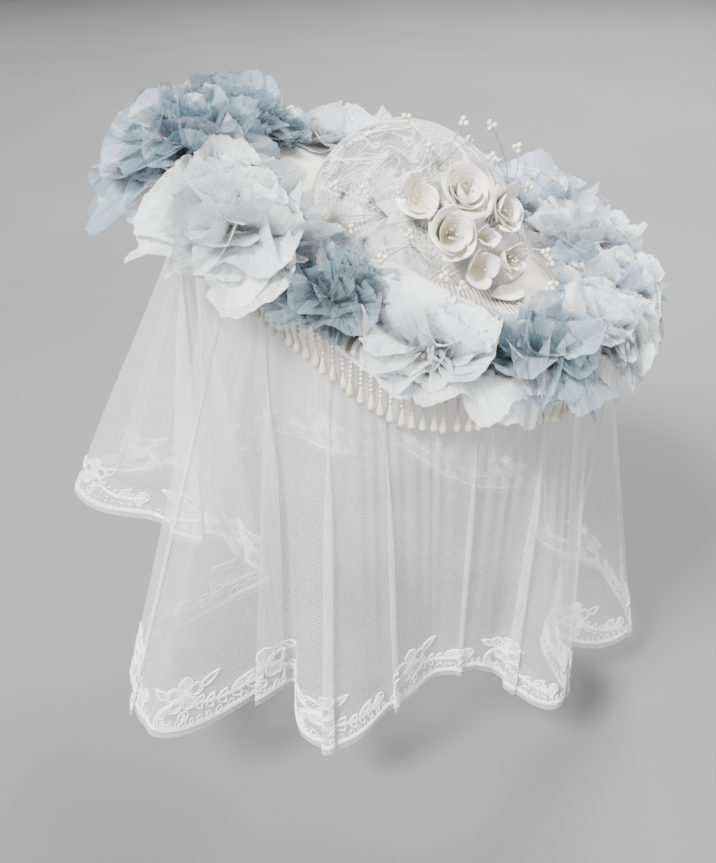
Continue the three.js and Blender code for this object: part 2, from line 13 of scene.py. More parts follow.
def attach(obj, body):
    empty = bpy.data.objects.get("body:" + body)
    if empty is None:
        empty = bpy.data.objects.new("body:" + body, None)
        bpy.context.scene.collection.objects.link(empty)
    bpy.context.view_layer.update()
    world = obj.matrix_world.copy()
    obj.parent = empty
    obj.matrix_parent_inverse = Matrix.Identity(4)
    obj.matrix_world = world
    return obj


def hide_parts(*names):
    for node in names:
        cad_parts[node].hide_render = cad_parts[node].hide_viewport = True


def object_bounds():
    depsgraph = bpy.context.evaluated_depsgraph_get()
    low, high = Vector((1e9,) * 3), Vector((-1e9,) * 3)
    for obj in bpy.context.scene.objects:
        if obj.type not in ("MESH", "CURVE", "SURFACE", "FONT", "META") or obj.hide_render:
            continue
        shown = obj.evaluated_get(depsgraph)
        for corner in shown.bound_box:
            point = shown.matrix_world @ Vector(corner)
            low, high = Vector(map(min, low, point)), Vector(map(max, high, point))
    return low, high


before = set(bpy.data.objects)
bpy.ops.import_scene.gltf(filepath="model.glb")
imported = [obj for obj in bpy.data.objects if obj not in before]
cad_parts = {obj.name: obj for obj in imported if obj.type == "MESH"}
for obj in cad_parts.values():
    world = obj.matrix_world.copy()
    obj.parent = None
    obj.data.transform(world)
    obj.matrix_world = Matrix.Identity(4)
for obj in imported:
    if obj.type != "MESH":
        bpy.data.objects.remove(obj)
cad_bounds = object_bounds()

MM = 0.001
UV_NAME = "cloth"
TINT_NAME = "tint"

# Tilt of the hat on the head, in degrees
SIDE_TILT = 16.5
FRONT_TILT = 3.5

# Crown
CROWN_HALF_WIDTH = 92 * MM
CROWN_HALF_DEPTH = 102 * MM
CROWN_HEIGHT = 81 * MM
CROWN_WALL = 2.4 * MM
CROWN_ROUNDNESS = 1.6
CROWN_LEAN_LEFT = 16 * MM
CROWN_LEAN_FRONT = 8 * MM

# Brim
BRIM_RADIUS = 200 * MM
BRIM_WALL = 2 * MM
BRIM_WAVE = 35 * MM
BRIM_MID_SHARE = 0.42
BRIM_PLEATS = 180
PLEAT_DEPTH = 0.8 * MM
BRIM_FOOT_GAP = 0.6 * MM

# Veil
VEIL_INSET = 12 * MM
VEIL_LENGTH = 380 * MM
HEM_RADIUS = 230 * MM
VEIL_STRAIGHT = 0.12
VEIL_GATHERS = 110
GATHER_DEPTH = 1.3 * MM
VEIL_COLUMNS = 1100
LACE_HEIGHT = 60 * MM
LACE_REPEAT = 96 * MM
LACE_LOW_SHARE = 0.72
LACE_FLOWER_AT = 0.32
SCALLOP_DEPTH = 11 * MM
HANG_GAP = 1.6 * MM
VEIL_NET_PITCH = 1.3 * MM
VEIL_NET_COVER = 0.17
VEIL_WHITE = (0.94, 0.94, 0.95)
LACE_NET_PITCH = 1.1 * MM
LACE_NET_COVER = 0.25
LACE_NET_WHITE = (0.80, 0.80, 0.82)

# Embroidery of the lace border, up from the scallop's lowest point
EDGE_CORD_HEIGHT = 9.5 * MM
EDGE_STITCHES = 56
EDGE_LOOPS = 15
LACE_FLOWER_HEIGHT = 42 * MM
LACE_PETALS = 5
LACE_PETAL_LENGTH = 17.5 * MM
LACE_PETAL_WIDTH = 12.5 * MM
LACE_LEAF_WIDTH = 7 * MM
SCROLL_HEIGHT = 24 * MM
SCROLL_RADIUS = 13.5 * MM
HEAVY_STITCH_RADIUS = 0.9 * MM
LIGHT_STITCH_RADIUS = 0.6 * MM
LACE_STAND_OFF = 0.4 * MM
ROUND_TIP = 1.7

# Embroidery of the crown: rows of sprigs, and the threes of lines that sweep over it
Sprigs = namedtuple("Sprigs", "up count size")
CROWN_SPRIGS = [
    Sprigs(0.03, 14, 31 * MM), Sprigs(0.36, 11, 24 * MM), Sprigs(0.6, 9, 19 * MM),
    Sprigs(0.8, 6, 14 * MM),
]
CROWN_SWEEPS = 30
SWEEP_STEPS = 26
CROWN_STITCH_RADIUS = 0.38 * MM
CROWN_STITCH_OFF = 0.25 * MM
CROWN_SWEEP_OFF = 0.2 * MM

# Pearl fringe
FRINGE_INSET = 3 * MM
FRINGE_BAND = 4 * MM
FRINGE_BAND_WALL = 1 * MM
FRINGE_BARE_THREAD = 1.5 * MM
FRINGE_PITCH = 7.8 * MM
SEED_RADIUS = 1.5 * MM
SEEDS_PER_STRAND = 4
END_BEAD_RADIUS = 0.8 * MM
DROP_RADIUS = 3 * MM
DROP_LENGTH = 14 * MM
THREAD_RADIUS = 0.25 * MM

# Petal flowers
FLOWER_RADIUS = 66 * MM
FLOWER_LIFT = 30 * MM
PETAL_CLEAR = 1.2 * MM
PETAL_WALL = 0.3 * MM
PETAL_SHORTEST = 22 * MM
PETAL_LONGEST = 66 * MM
PETAL_LEAST_REACH = 18 * MM
PETAL_OVERLAP = 1.35
PETAL_FREE_EDGE = 5 * MM

# Satin roses, leaves and pearl sprays
ROSE_RADIUS = 18 * MM
ROSE_DEPTH = 26 * MM
SATIN_WALL = 0.5 * MM
ROSE_SEAT_GAP = 0.4 * MM
STAMEN_RADIUS = 0.18 * MM
STAMEN_BEAD_RADIUS = 0.95 * MM
LEAF_WIDTH = 17 * MM
LEAF_CLEAR = 1.4 * MM
PEARL_RADIUS = 2.1 * MM
TRIPLET_RADIUS = 2.4 * MM
WIRE_RADIUS = 0.28 * MM
WIRE_TWIST_PITCH = 3.4 * MM
SPRAY_STAND_OFF = 13 * MM
SPRAY_FOOT_OFF = 1.2 * MM

# Edge of the brim: rise in shares of the brim's wave, reach of its radius
Edge = namedtuple("Edge", "turn rise reach")
BRIM_EDGE = [
    Edge(-180, -0.9, 1), Edge(-145, -0.35, 1), Edge(-110, 0.3, 1.05), Edge(-80, 0.45, 1.07),
    Edge(-48, 0.16, 1), Edge(-32, -0.3, 0.98), Edge(0, -1, 1), Edge(25, -0.49, 1),
    Edge(60, -0.23, 0.96), Edge(90, -0.14, 0.94), Edge(125, -0.16, 0.94), Edge(150, -0.6, 0.97),
]

# Crests and hollows of the veil's hem: reach of the hem's radius, fall of the veil's length
Fold = namedtuple("Fold", "turn reach fall")
VEIL_FOLDS = [
    Fold(-180, 1.09, 0.96), Fold(-162, 0.87, 0.96), Fold(-145, 1.11, 0.96), Fold(-128, 0.93, 0.95),
    Fold(-112, 1.02, 0.95), Fold(-97, 1.5, 0.95), Fold(-84, 0.78, 1.02), Fold(-70, 0.62, 1.04),
    Fold(-58, 1.28, 1.06), Fold(-46, 1.36, 1.04), Fold(-35, 0.8, 1), Fold(-25, 0.99, 0.99),
    Fold(8, 0.66, 0.82), Fold(26, 0.67, 0.84), Fold(41, 0.87, 0.92), Fold(62, 0.62, 0.9),
    Fold(82, 1.01, 0.96), Fold(103, 0.95, 0.95), Fold(122, 0.77, 0.95), Fold(140, 1.08, 0.96),
    Fold(160, 0.88, 0.96),
]

# Narrow doubled folds of the net: turn, depth and half-width in degrees
Pleat = namedtuple("Pleat", "turn depth width")
VEIL_PLEATS = [
    Pleat(-168, 5 * MM, 1.8), Pleat(-152, 6 * MM, 2.0), Pleat(-133, 5 * MM, 1.6),
    Pleat(-117, 6 * MM, 2.2), Pleat(-103, 5 * MM, 1.5), Pleat(-88, 6 * MM, 1.8),
    Pleat(-66, 6 * MM, 2.2), Pleat(-52, 5 * MM, 1.6), Pleat(-38, 6 * MM, 2.0),
    Pleat(-20, 7 * MM, 2.4), Pleat(-6, 4 * MM, 1.2), Pleat(14, 4 * MM, 1.4),
    Pleat(31, 6 * MM, 2.0), Pleat(47, 5 * MM, 1.5), Pleat(64, 6 * MM, 2.0),
    Pleat(92, 5 * MM, 1.8), Pleat(112, 5 * MM, 1.6), Pleat(131, 6 * MM, 2.0),
    Pleat(150, 5 * MM, 1.6), Pleat(170, 5 * MM, 1.8),
]
PLEAT_OVERLAP = 2.7

# Leaves of one repeat of the lace: their feet's places from its flower's middle, and their aim
LaceLeaf = namedtuple("LaceLeaf", "across up aim length")
LACE_LEAVES = [
    LaceLeaf(14 * MM, 3 * MM, 40, 17 * MM), LaceLeaf(-13 * MM, 1 * MM, 152, 15 * MM),
    LaceLeaf(36 * MM, -16 * MM, 50, 17 * MM), LaceLeaf(49 * MM, -15 * MM, 28, 13 * MM),
]

# Flowers round the brim: the turns that bound each one, reaches in shares of the brim's, how far
# out its petals' feet stand, how many petals it has for one plain row, and its share of spikes
Flower = namedtuple(
    "Flower", "name turn start end out inner outer size nod droop tall ring many spikes tints"
)
FLOWERS = [
    Flower("white_back_left", -158, -176, -141, 0.9, 0.55, 1.1, 1, 0, 0, 0.8, 0.1, 1, 0.2,
           "white pearl white"),
    Flower("blue_left_back", -122, -141, -102, 0.92, 0.64, 1.22, 1, 0.3, 0.5, 0.9, 0.55, 1.6, 0.1,
           "pale blue pale"),
    Flower("blue_left", -80, -102, -62, 0.94, 0.6, 1.22, 1.2, 0.4, 1.2, 1.25, 0.6, 2, 0.15,
           "blue lavender pale blue"),
    Flower("white_left", -47, -68, -31, 0.93, 0.52, 1.3, 1.03, 0.5, 0.6, 1.3, 0.3, 1.6, 0.55,
           "white pearl white white"),
    Flower("blue_front_left", -22, -31, -13, 0.9, 0.68, 1.09, 1, 0.4, 0.5, 1.1, 0.2, 1.1, 0.4,
           "deep teal blue teal"),
    Flower("white_front", 1.5, -13, 16, 0.88, 0.66, 1.07, 1.05, 0.5, 0.7, 1.25, 0.32, 1.4, 0.3,
           "white pearl white"),
    Flower("blue_front_right", 26, 16, 37, 0.9, 0.7, 1.12, 1, 0.6, 0.8, 1.05, 0.25, 1.2, 0.35,
           "blue pale pearl pale"),
    Flower("white_front_right", 50, 37, 64, 0.9, 0.71, 1.13, 1, 0.7, 1, 0.95, 0.45, 1.8, 0.35,
           "white pearl white"),
    Flower("blue_right", 77, 64, 91, 0.87, 0.63, 1.1, 1, 0.3, 0.5, 1, 0.35, 1.4, 0.25,
           "pale pearl blue white"),
    Flower("white_right_back", 106, 91, 121, 0.88, 0.6, 1.12, 1, 0, 0, 1.2, 0.3, 1.3, 0.25,
           "pearl lavender white"),
    Flower("blue_back_right", 136, 121, 151, 0.9, 0.62, 1.15, 1, 0, 0, 1.1, 0.3, 1.3, 0.2,
           "pale pearl lavender"),
    Flower("white_back", 167, 151, 184, 0.9, 0.62, 1.1, 1, 0, 0, 0.8, 0.1, 1, 0.2,
           "white pearl white"),
]
TINTS = {
    "white": (0.90, 0.91, 0.92),
    "pearl": (0.80, 0.82, 0.86),
    "lavender": (0.56, 0.60, 0.70),
    "pale": (0.28, 0.39, 0.48),
    "blue": (0.14, 0.25, 0.33),
    "teal": (0.11, 0.21, 0.26),
    "deep": (0.06, 0.13, 0.17),
}

# Rows of petals from the brim up to a flower's heart: count, rise in degrees, size in shares
# of the flower's reach, and height of the petals' feet
Tier = namedtuple("Tier", "count rise size foot")
PETAL_TIERS = [
    Tier(12, 2, 1.0, 1 * MM),
    Tier(11, 13, 0.95, 3 * MM),
    Tier(9, 27, 0.86, 5 * MM),
    Tier(7, 45, 0.7, 6 * MM),
    Tier(4, 66, 0.5, 7 * MM),
]

# Petal shapes: half-angle of the fan in degrees, roundness of its rim, cup of the sides, curl
# of the tip, waves over the width and their depth, and pinch of the tip to a folded point
Petal = namedtuple("Petal", "fan rim cup curl waves depth pinch")
PETALS = [
    Petal(66, 0.50, 0.26, -0.16, 1.3, 0.14, 0),
    Petal(72, 0.45, 0.14, 0.16, 1.9, 0.15, 0),
    Petal(60, 0.52, 0.34, 0.10, 1.1, 0.12, 0),
    Petal(70, 0.42, -0.14, -0.22, 2.2, 0.12, 0),
    Petal(46, 0.60, 0.40, 0.20, 1.2, 0.07, 0.55),
    Petal(76, 0.40, 0.20, -0.10, 2.4, 0.13, 0),
    Petal(64, 0.48, 0.40, 0.26, 1.7, 0.13, 0.15),
    Petal(40, 0.66, 0.30, -0.20, 1.1, 0.06, 0.78),
]

# Roses on the crown: seat, size, petals of the outer, middle and inner rows, stamens, and the
# angle and height of the tallest petal
Rose = namedtuple("Rose", "name turn seat mouth depth outer middle inner stamens first tall")
ROSES = [
    Rose("rose_upper_left", -8, 0.56, 0.68, 0.72, 3, 2, 0, 6, 40, 1.6),
    Rose("rose_top", 17, 0.68, 1, 0.56, 6, 5, 3, 8, 20, 1.1),
    Rose("rose_right", 43, 0.58, 0.82, 0.56, 5, 3, 0, 10, 30, 1.45),
    Rose("rose_middle", 7, 0.4, 0.8, 0.94, 4, 3, 0, 9, 60, 1.15),
    Rose("rose_bud", 22, 0.4, 0.4, 0.86, 3, 2, 0, 0, 180, 1.2),
    Rose("rose_low", 20, 0.2, 0.6, 0.88, 3, 0, 0, 1, 90, 1.1),
    Rose("rose_low_right", 36, 0.26, 0.58, 0.86, 3, 2, 0, 11, 40, 1.15),
]

# Rings of a rose's petals from the outside in: size and height in shares of the rose's, span of
# a petal in degrees, and roll of its rim
Ring = namedtuple("Ring", "size span roll high")
ROSE_RINGS = [Ring(1, 66, 0.26, 1), Ring(0.74, 68, 0.14, 1.04), Ring(0.48, 84, 0.05, 1.08)]

# Satin leaves along the foot of the crown
Leaf = namedtuple("Leaf", "name start end clear")
LEAVES = [
    Leaf("satin_leaf_left", -27, 9, 0.65),
    Leaf("satin_leaf_right", 26, 48, 0.88),
]

# Pearl sprays: each foot on the crown, then its triplets of pearls
Spot = namedtuple("Spot", "turn up off")
SPRAYS = {
    "pearl_spray_left": [
        Spot(-22, 0.4, 0), Spot(-50, 0.38, 0.9), Spot(-34, 0.46, 1), Spot(-47, 0.12, 1),
        Spot(-31, 0.2, 1.1),
    ],
    "pearl_spray_top": [
        Spot(2, 0.82, 0), Spot(16, 1.06, 1.3), Spot(-44, 0.98, 0.8), Spot(36, 0.97, 0.7),
        Spot(-8, 0.86, 0.9),
    ],
    "pearl_spray_right": [
        Spot(62, 0.66, 0), Spot(52, 0.94, 2.1), Spot(66, 0.82, 2.2), Spot(44, 0.84, 1.3),
        Spot(76, 0.62, 1.3),
    ],
    "pearl_spray_low_left": [
        Spot(-8, 0.26, 0), Spot(-9, 0.32, 1.9), Spot(4, 0.14, 2.3), Spot(-16, 0.13, 1.9),
        Spot(10, 0.1, 2.3),
    ],
    "pearl_spray_low_right": [
        Spot(52, 0.3, 0), Spot(56, 0.24, 1.8), Spot(47, 0.06, 2.6), Spot(58, 0.02, 2.2),
        Spot(66, 0.12, 1.6),
    ],
}
SPRAY_BEND_ALONG = 0.4
SPRAY_BEND_OUT = 0.5
TRIPLET_FACING = Vector((0.1, -0.85, 0.5)).normalized()

# Soft lamps, and the camera's place and tilt
Lamp = namedtuple("Lamp", "name place size power")
LAMPS = [
    Lamp("key", (-3.5, -3.8, 5.4), 1.9, 628),
    Lamp("fill", (5.1, -4.1, 2.5), 4.4, 100),
    Lamp("back", (2.2, 6.5, 5.5), 4.3, 810),
]
LAMP_SPREAD = 100
LAMP_AIM = Vector((0, 0, -0.08))
SKY_STRENGTH = 0.12
CAMERA_PLACE = (-0.0507, -0.7556, 0.2569)
CAMERA_TILT = 59
CAMERA_LENS = 39.63

HAT = Matrix.Rotation(radians(SIDE_TILT), 3, "Y") @ Matrix.Rotation(radians(FRONT_TILT), 3, "X")
UP = Vector((0, 0, 1))


# Form of the hat

def spin(turn, axis):
    return Matrix.Rotation(radians(turn), 4, axis)


def lerp(a, b, share):
    return a + (b - a) * share


def smoothstep(value, low, high):
    share = min(1, max(0, (value - low) / (high - low)))
    return share * share * (3 - 2 * share)


def around(table, column, turn):
    """Smooth value round the hat from a table of crests and hollows."""
    first = table[0].turn
    t = (turn - first) % 360 + first
    i = max(k for k, row in enumerate(table) if row.turn <= t)
    following = table[(i + 1) % len(table)]
    end = following.turn if i + 1 < len(table) else following.turn + 360
    share = smoothstep(t, table[i].turn, end)
    return lerp(getattr(table[i], column), getattr(following, column), share)


def polar(turn, radius, z):
    a = radians(turn)
    return Vector((radius * sin(a), -radius * cos(a), z))


def turn_of(p):
    return degrees(atan2(p.x, -p.y))


def oval_radius(turn, half_width=CROWN_HALF_WIDTH, half_depth=CROWN_HALF_DEPTH):
    a = radians(turn)
    return 1 / hypot(sin(a) / half_width, cos(a) / half_depth)


def crown_point(turn, up):
    """Point on the crown's outer face, at a share of its height, in the hat's own frame."""
    dome = sqrt(max(0, 1 - max(0, up) ** CROWN_ROUNDNESS))
    lean = Vector((-CROWN_LEAN_LEFT * up, -CROWN_LEAN_FRONT * up, 0))
    return polar(turn, oval_radius(turn) * dome, up * CROWN_HEIGHT) + lean


def crown_normal(turn, up):
    step = 0.01
    along = crown_point(turn, up + step) - crown_point(turn, up - step)
    across = crown_point(turn + 1, up) - crown_point(turn - 1, up)
    return across.cross(along).normalized()


def brim_edge(turn):
    return BRIM_RADIUS * around(BRIM_EDGE, "reach", turn)


def brim_share(turn, radius):
    foot = oval_radius(turn)
    return min(1, max(0, (radius - foot) / (brim_edge(turn) - foot)))


def brim_height(turn, radius):
    share = brim_share(turn, radius)
    inner = min(1, 2 * share) * BRIM_MID_SHARE
    outer = max(0, 2 * share - 1) * (1 - BRIM_MID_SHARE)
    return BRIM_WAVE * around(BRIM_EDGE, "rise", turn) * (inner + outer)


def brim_face(turn, radius, side):
    """Height of the brim's upper face (side 1) or lower face (side -1)."""
    return brim_height(turn, radius) + side * (BRIM_WALL / 2 + PLEAT_DEPTH)


def hang_point(turn, inset):
    """Point under the brim where the veil or the fringe hangs, standing upright."""
    ring = brim_edge(turn) - inset
    return HAT @ polar(turn, ring, brim_face(turn, ring, -1) - HANG_GAP)


def hem_point(turn):
    top = hang_point(turn, VEIL_INSET)
    reach = HEM_RADIUS * around(VEIL_FOLDS, "reach", turn)
    return polar(turn, reach, top.z - VEIL_LENGTH * around(VEIL_FOLDS, "fall", turn))


@lru_cache(maxsize=None)
def veil_ends(turn):
    return hang_point(turn, VEIL_INSET), hem_point(turn)


def veil_line(turn, share):
    """Point of the veil's smooth folds, from the brim (share 0) to the hem (share 1)."""
    top, hem = veil_ends(turn)
    spread = max(0, (share - VEIL_STRAIGHT) / (1 - VEIL_STRAIGHT))
    return Vector((lerp(top.x, hem.x, spread), lerp(top.y, hem.y, spread), lerp(top.z, hem.z, share)))


def veil_out(turn, share):
    step = 0.25
    across = veil_line(turn + step, share) - veil_line(turn - step, share)
    return Vector((across.y, -across.x, 0)).normalized()


def veil_point(turn, share):
    """Point of the net itself, with its fine gathers above and its doubled folds below."""
    phase = radians(turn) * VEIL_GATHERS + 3.5 * noise.noise(Vector((turn * 0.15, 0, 7.3)))
    gather = GATHER_DEPTH * (1 - share) ** 2 * cos(phase)
    grown = smoothstep(share, 0, 0.45)
    raised = 0
    back = 0
    for pleat in VEIL_PLEATS:
        off = ((turn - pleat.turn + 180) % 360 - 180) / pleat.width
        if abs(off) < 3:
            bell = exp(-off * off) * grown
            raised += pleat.depth * bell
            back += PLEAT_OVERLAP * pleat.width * off * bell
    soft = 3 * MM * share * noise.noise(Vector((turn * 0.09, share * 2.2, 4.1)))
    out = veil_out(turn, share)
    return veil_line(turn - back, share) + out * (gather + raised + soft)


def hem_measure():
    """Turns at equal steps of the hem's smooth line, and its length."""
    fine = 1440
    points = [hem_point(i / fine * 360 - 180) for i in range(fine + 1)]
    lengths = [0]
    for before, after in zip(points, points[1:]):
        lengths.append(lengths[-1] + (after - before).length)
    turns = [i / fine * 360 - 180 for i in range(fine + 1)]
    return lengths, turns


HEM_LENGTHS, HEM_TURNS = hem_measure()
HEM_LENGTH = HEM_LENGTHS[-1]
SCALLOPS = round(HEM_LENGTH / LACE_REPEAT)


def hem_turn(distance):
    return float(np.interp(distance % HEM_LENGTH, HEM_LENGTHS, HEM_TURNS))


def line_length(turn):
    top, hem = veil_ends(turn)
    return (hem - top).length


# Making and finishing pieces

Form = namedtuple("Form", "points faces uvs")


def deselect_all():
    bpy.ops.object.select_all(action="DESELECT")


def make_active(piece):
    deselect_all()
    piece.select_set(True)
    bpy.context.view_layer.objects.active = piece


def piece_of(name, points, faces, loop_uvs):
    mesh = bpy.data.meshes.new(name)
    mesh.from_pydata([tuple(p) for p in points], [], faces)
    layer = mesh.uv_layers.new(name=UV_NAME)
    layer.data.foreach_set("uv", [value for uv in loop_uvs for value in uv])
    mesh.validate()
    piece = bpy.data.objects.new(name, mesh)
    bpy.context.collection.objects.link(piece)
    return piece


def woven(name, columns, rows, closed, place, cloth):
    """Sheet or ring of cloth: place gives its points and cloth their flat places."""
    wide = columns if closed else columns + 1
    points = [place(c, r) for r in range(rows + 1) for c in range(wide)]
    faces = []
    uvs = []
    for r in range(rows):
        for c in range(columns):
            corners = [(c, r), (c, r + 1), (c + 1, r + 1), (c + 1, r)]
            faces.append([row * wide + column % wide for column, row in corners])
            uvs.extend(cloth(column, row) for column, row in corners)
    return piece_of(name, points, faces, uvs)


def grid_form(columns, rows, place):
    """Open sheet as a form: place takes u from -1 to 1 and v from 0 to 1."""
    points = []
    uvs = []
    for r in range(rows + 1):
        for c in range(columns + 1):
            u = 2 * c / columns - 1
            v = r / rows
            points.append(place(u, v))
            uvs.append(((u + 1) / 2, v))
    faces = []
    for r in range(rows):
        for c in range(columns):
            a = r * (columns + 1) + c
            faces.append((a, a + 1, a + columns + 2, a + columns + 1))
    return Form(np.array([tuple(p) for p in points]), faces, uvs)


def form_of(piece):
    """Takes a modelled master piece away and keeps its shape to be copied."""
    mesh = piece.data
    points = np.array([tuple(v.co) for v in mesh.vertices])
    faces = [tuple(p.vertices) for p in mesh.polygons]
    bpy.data.objects.remove(piece)
    return Form(points, faces, [(0, 0)] * len(points))


def joined(name, parts):
    """One mesh of many placed copies. Each part is a form, a matrix and a tint."""
    points = []
    faces = []
    uvs = []
    tints = []
    for form, matrix, tint in parts:
        start = len(points)
        placed = form.points @ np.array(matrix.to_3x3()).T + np.array(matrix.translation)
        points.extend(placed.tolist())
        for face in form.faces:
            faces.append(tuple(start + i for i in face))
            uvs.extend(form.uvs[i] for i in face)
        tints.extend([*tint, 1.0] * len(form.points))
    piece = piece_of(name, points, faces, uvs)
    layer = piece.data.color_attributes.new(name=TINT_NAME, type="FLOAT_COLOR", domain="POINT")
    layer.data.foreach_set("color", tints)
    return piece


def apply_modifiers(piece):
    make_active(piece)
    for modifier in list(piece.modifiers):
        bpy.ops.object.modifier_apply(modifier=modifier.name)


def give_wall(piece, wall, offset=0.0):
    modifier = piece.modifiers.new("wall", "SOLIDIFY")
    modifier.thickness = wall
    modifier.offset = offset
    apply_modifiers(piece)


def subdivide(piece, levels):
    modifier = piece.modifiers.new("smooth", "SUBSURF")
    modifier.levels = levels
    modifier.render_levels = levels
    apply_modifiers(piece)


def smooth_shade(piece, angle=60):
    make_active(piece)
    bpy.ops.object.shade_smooth_by_angle(angle=radians(angle))


def face_outwards(piece):
    make_active(piece)
    bpy.ops.object.mode_set(mode="EDIT")
    bpy.ops.mesh.select_all(action="SELECT")
    bpy.ops.mesh.normals_make_consistent(inside=False)
    bpy.ops.object.mode_set(mode="OBJECT")


def threads(name, routes, radius, resolution=0):
    """Threads or wires along routes, as one mesh of thin closed tubes."""
    curve = bpy.data.curves.new(name, "CURVE")
    curve.dimensions = "3D"
    curve.bevel_depth = radius
    curve.bevel_resolution = resolution
    curve.use_fill_caps = True
    for route in routes:
        spline = curve.splines.new("POLY")
        spline.points.add(len(route) - 1)
        spline.points.foreach_set("co", [value for p in route for value in (*p, 1)])
    piece = bpy.data.objects.new(name, curve)
    bpy.context.collection.objects.link(piece)
    make_active(piece)
    bpy.ops.object.convert(target="MESH")
    piece.data.name = name
    return piece


def join_pieces(name, pieces):
    deselect_all()
    for piece in pieces:
        piece.select_set(True)
    bpy.context.view_layer.objects.active = pieces[0]
    bpy.ops.object.join()
    pieces[0].name = name
    return pieces[0]


def dress(piece, material, replaced=()):
    """Finishes a piece: its material, its body and the node it stands for."""
    piece.data.materials.clear()
    piece.data.materials.append(material)
    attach(piece, "root")
    if replaced:
        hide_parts(*replaced)
    return piece


# Shader node groups and materials

def new_group(name, inputs, outputs):
    group = bpy.data.node_groups.new(name, "ShaderNodeTree")
    for label, kind, value in inputs:
        socket = group.interface.new_socket(label, in_out="INPUT", socket_type=kind)
        if value is not None:
            socket.default_value = value
    for label, kind in outputs:
        group.interface.new_socket(label, in_out="OUTPUT", socket_type=kind)
    return group, group.nodes.new("NodeGroupInput"), group.nodes.new("NodeGroupOutput")


def tree_of(*values):
    """Node tree that the first socket among some values belongs to."""
    return next(v for v in values if isinstance(v, bpy.types.NodeSocket)).id_data


def add_math(operation, a, b=None, clamp=False):
    tree = tree_of(a, b)
    node = tree.nodes.new("ShaderNodeMath")
    node.operation = operation
    node.use_clamp = clamp
    for socket, value in zip(node.inputs, (a, b)):
        if value is None:
            continue
        if isinstance(value, (int, float)):
            socket.default_value = value
        else:
            tree.links.new(value, socket)
    return node.outputs[0]


def times(a, b, clamp=False):
    return add_math("MULTIPLY", a, b, clamp)


def plus(a, b, clamp=False):
    return add_math("ADD", a, b, clamp)


def minus(a, b):
    return add_math("SUBTRACT", a, b)


def axes_of(vector):
    tree = vector.id_data
    node = tree.nodes.new("ShaderNodeSeparateXYZ")
    tree.links.new(vector, node.inputs[0])
    return node.outputs


def feed(shader, label, socket):
    shader.id_data.links.new(socket, shader.inputs[label])


def add_noise(vector, scale, detail=2.0, roughness=0.5):
    tree = vector.id_data
    node = tree.nodes.new("ShaderNodeTexNoise")
    node.inputs["Detail"].default_value = detail
    node.inputs["Roughness"].default_value = roughness
    if isinstance(scale, (int, float)):
        node.inputs["Scale"].default_value = scale
    else:
        tree.links.new(scale, node.inputs["Scale"])
    tree.links.new(vector, node.inputs["Vector"])
    return node.outputs["Fac"]


def add_ramp(value, stops):
    """Colour ramp with stops of (position, colour)."""
    tree = value.id_data
    node = tree.nodes.new("ShaderNodeValToRGB")
    elements = node.color_ramp.elements
    while len(elements) < len(stops):
        elements.new(1)
    for element, (position, colour) in zip(elements, stops):
        element.position = position
        element.color = (*colour, 1)
    tree.links.new(value, node.inputs["Fac"])
    return node.outputs["Color"]


def grey(value):
    return (value, value, value)


def add_mix(factor, a, b, blend="MIX"):
    tree = tree_of(factor, a, b)
    node = tree.nodes.new("ShaderNodeMix")
    node.data_type = "RGBA"
    node.blend_type = blend
    for socket, value in ((node.inputs[0], factor), (node.inputs[6], a), (node.inputs[7], b)):
        if isinstance(value, (int, float)):
            socket.default_value = value
        elif isinstance(value, tuple):
            socket.default_value = (*value, 1)
        else:
            tree.links.new(value, socket)
    return node.outputs[2]


def scaled(vector, scale):
    tree = vector.id_data
    node = tree.nodes.new("ShaderNodeMapping")
    node.inputs["Scale"].default_value = scale
    tree.links.new(vector, node.inputs["Vector"])
    return node.outputs["Vector"]


def fibre_group():
    """Long fibres that run along V, with finer ones between them."""
    group, given, out = new_group(
        "fibre_streaks",
        [("Vector", "NodeSocketVector", None), ("Fibres", "NodeSocketFloat", 40.0)],
        [("Streaks", "NodeSocketFloat"), ("Height", "NodeSocketFloat")],
    )
    stretched = scaled(given.outputs["Vector"], (1, 0.05, 1))
    broad = add_noise(stretched, given.outputs["Fibres"], 3.0, 0.6)
    finer = times(given.outputs["Fibres"], 3.1)
    fine = add_noise(stretched, finer, 2.0, 0.5)
    both = plus(times(broad, 0.65), times(fine, 0.35))
    contrast = times(minus(both, 0.34), 3.0, clamp=True)
    group.links.new(contrast, out.inputs["Streaks"])
    group.links.new(both, out.inputs["Height"])
    return group


def net_group():
    """Diamond net: 1 on its threads and 0 in its holes."""
    group, given, out = new_group(
        "diamond_net",
        [
            ("Vector", "NodeSocketVector", None),
            ("Pitch", "NodeSocketFloat", 1.6 * MM),
            ("Thread", "NodeSocketFloat", 0.2),
        ],
        [("Threads", "NodeSocketFloat")],
    )
    axes = axes_of(given.outputs["Vector"])
    lean = 0.6
    covered = None
    for sign in (1, -1):
        slanted = times(axes[1], sign * lean)
        along = add_math("DIVIDE", plus(axes[0], slanted), given.outputs["Pitch"])
        line = add_math("LESS_THAN", add_math("FRACT", along), given.outputs["Thread"])
        covered = line if covered is None else add_math("MAXIMUM", covered, line)
    group.links.new(covered, out.inputs["Threads"])
    return group


def weave_group():
    """Plain weave: over and under threads as a height."""
    group, given, out = new_group(
        "plain_weave",
        [("Vector", "NodeSocketVector", None), ("Count", "NodeSocketFloat", 2500.0)],
        [("Height", "NodeSocketFloat")],
    )
    axes = axes_of(given.outputs["Vector"])
    waves = []
    for axis in range(3):
        phase = times(axes[axis], given.outputs["Count"])
        waves.append(add_math("SINE", phase))
    crossed = plus(times(waves[0], waves[2]), waves[1])
    group.links.new(times(crossed, 0.25), out.inputs["Height"])
    return group


FIBRES = fibre_group()
NET = net_group()
WEAVE = weave_group()


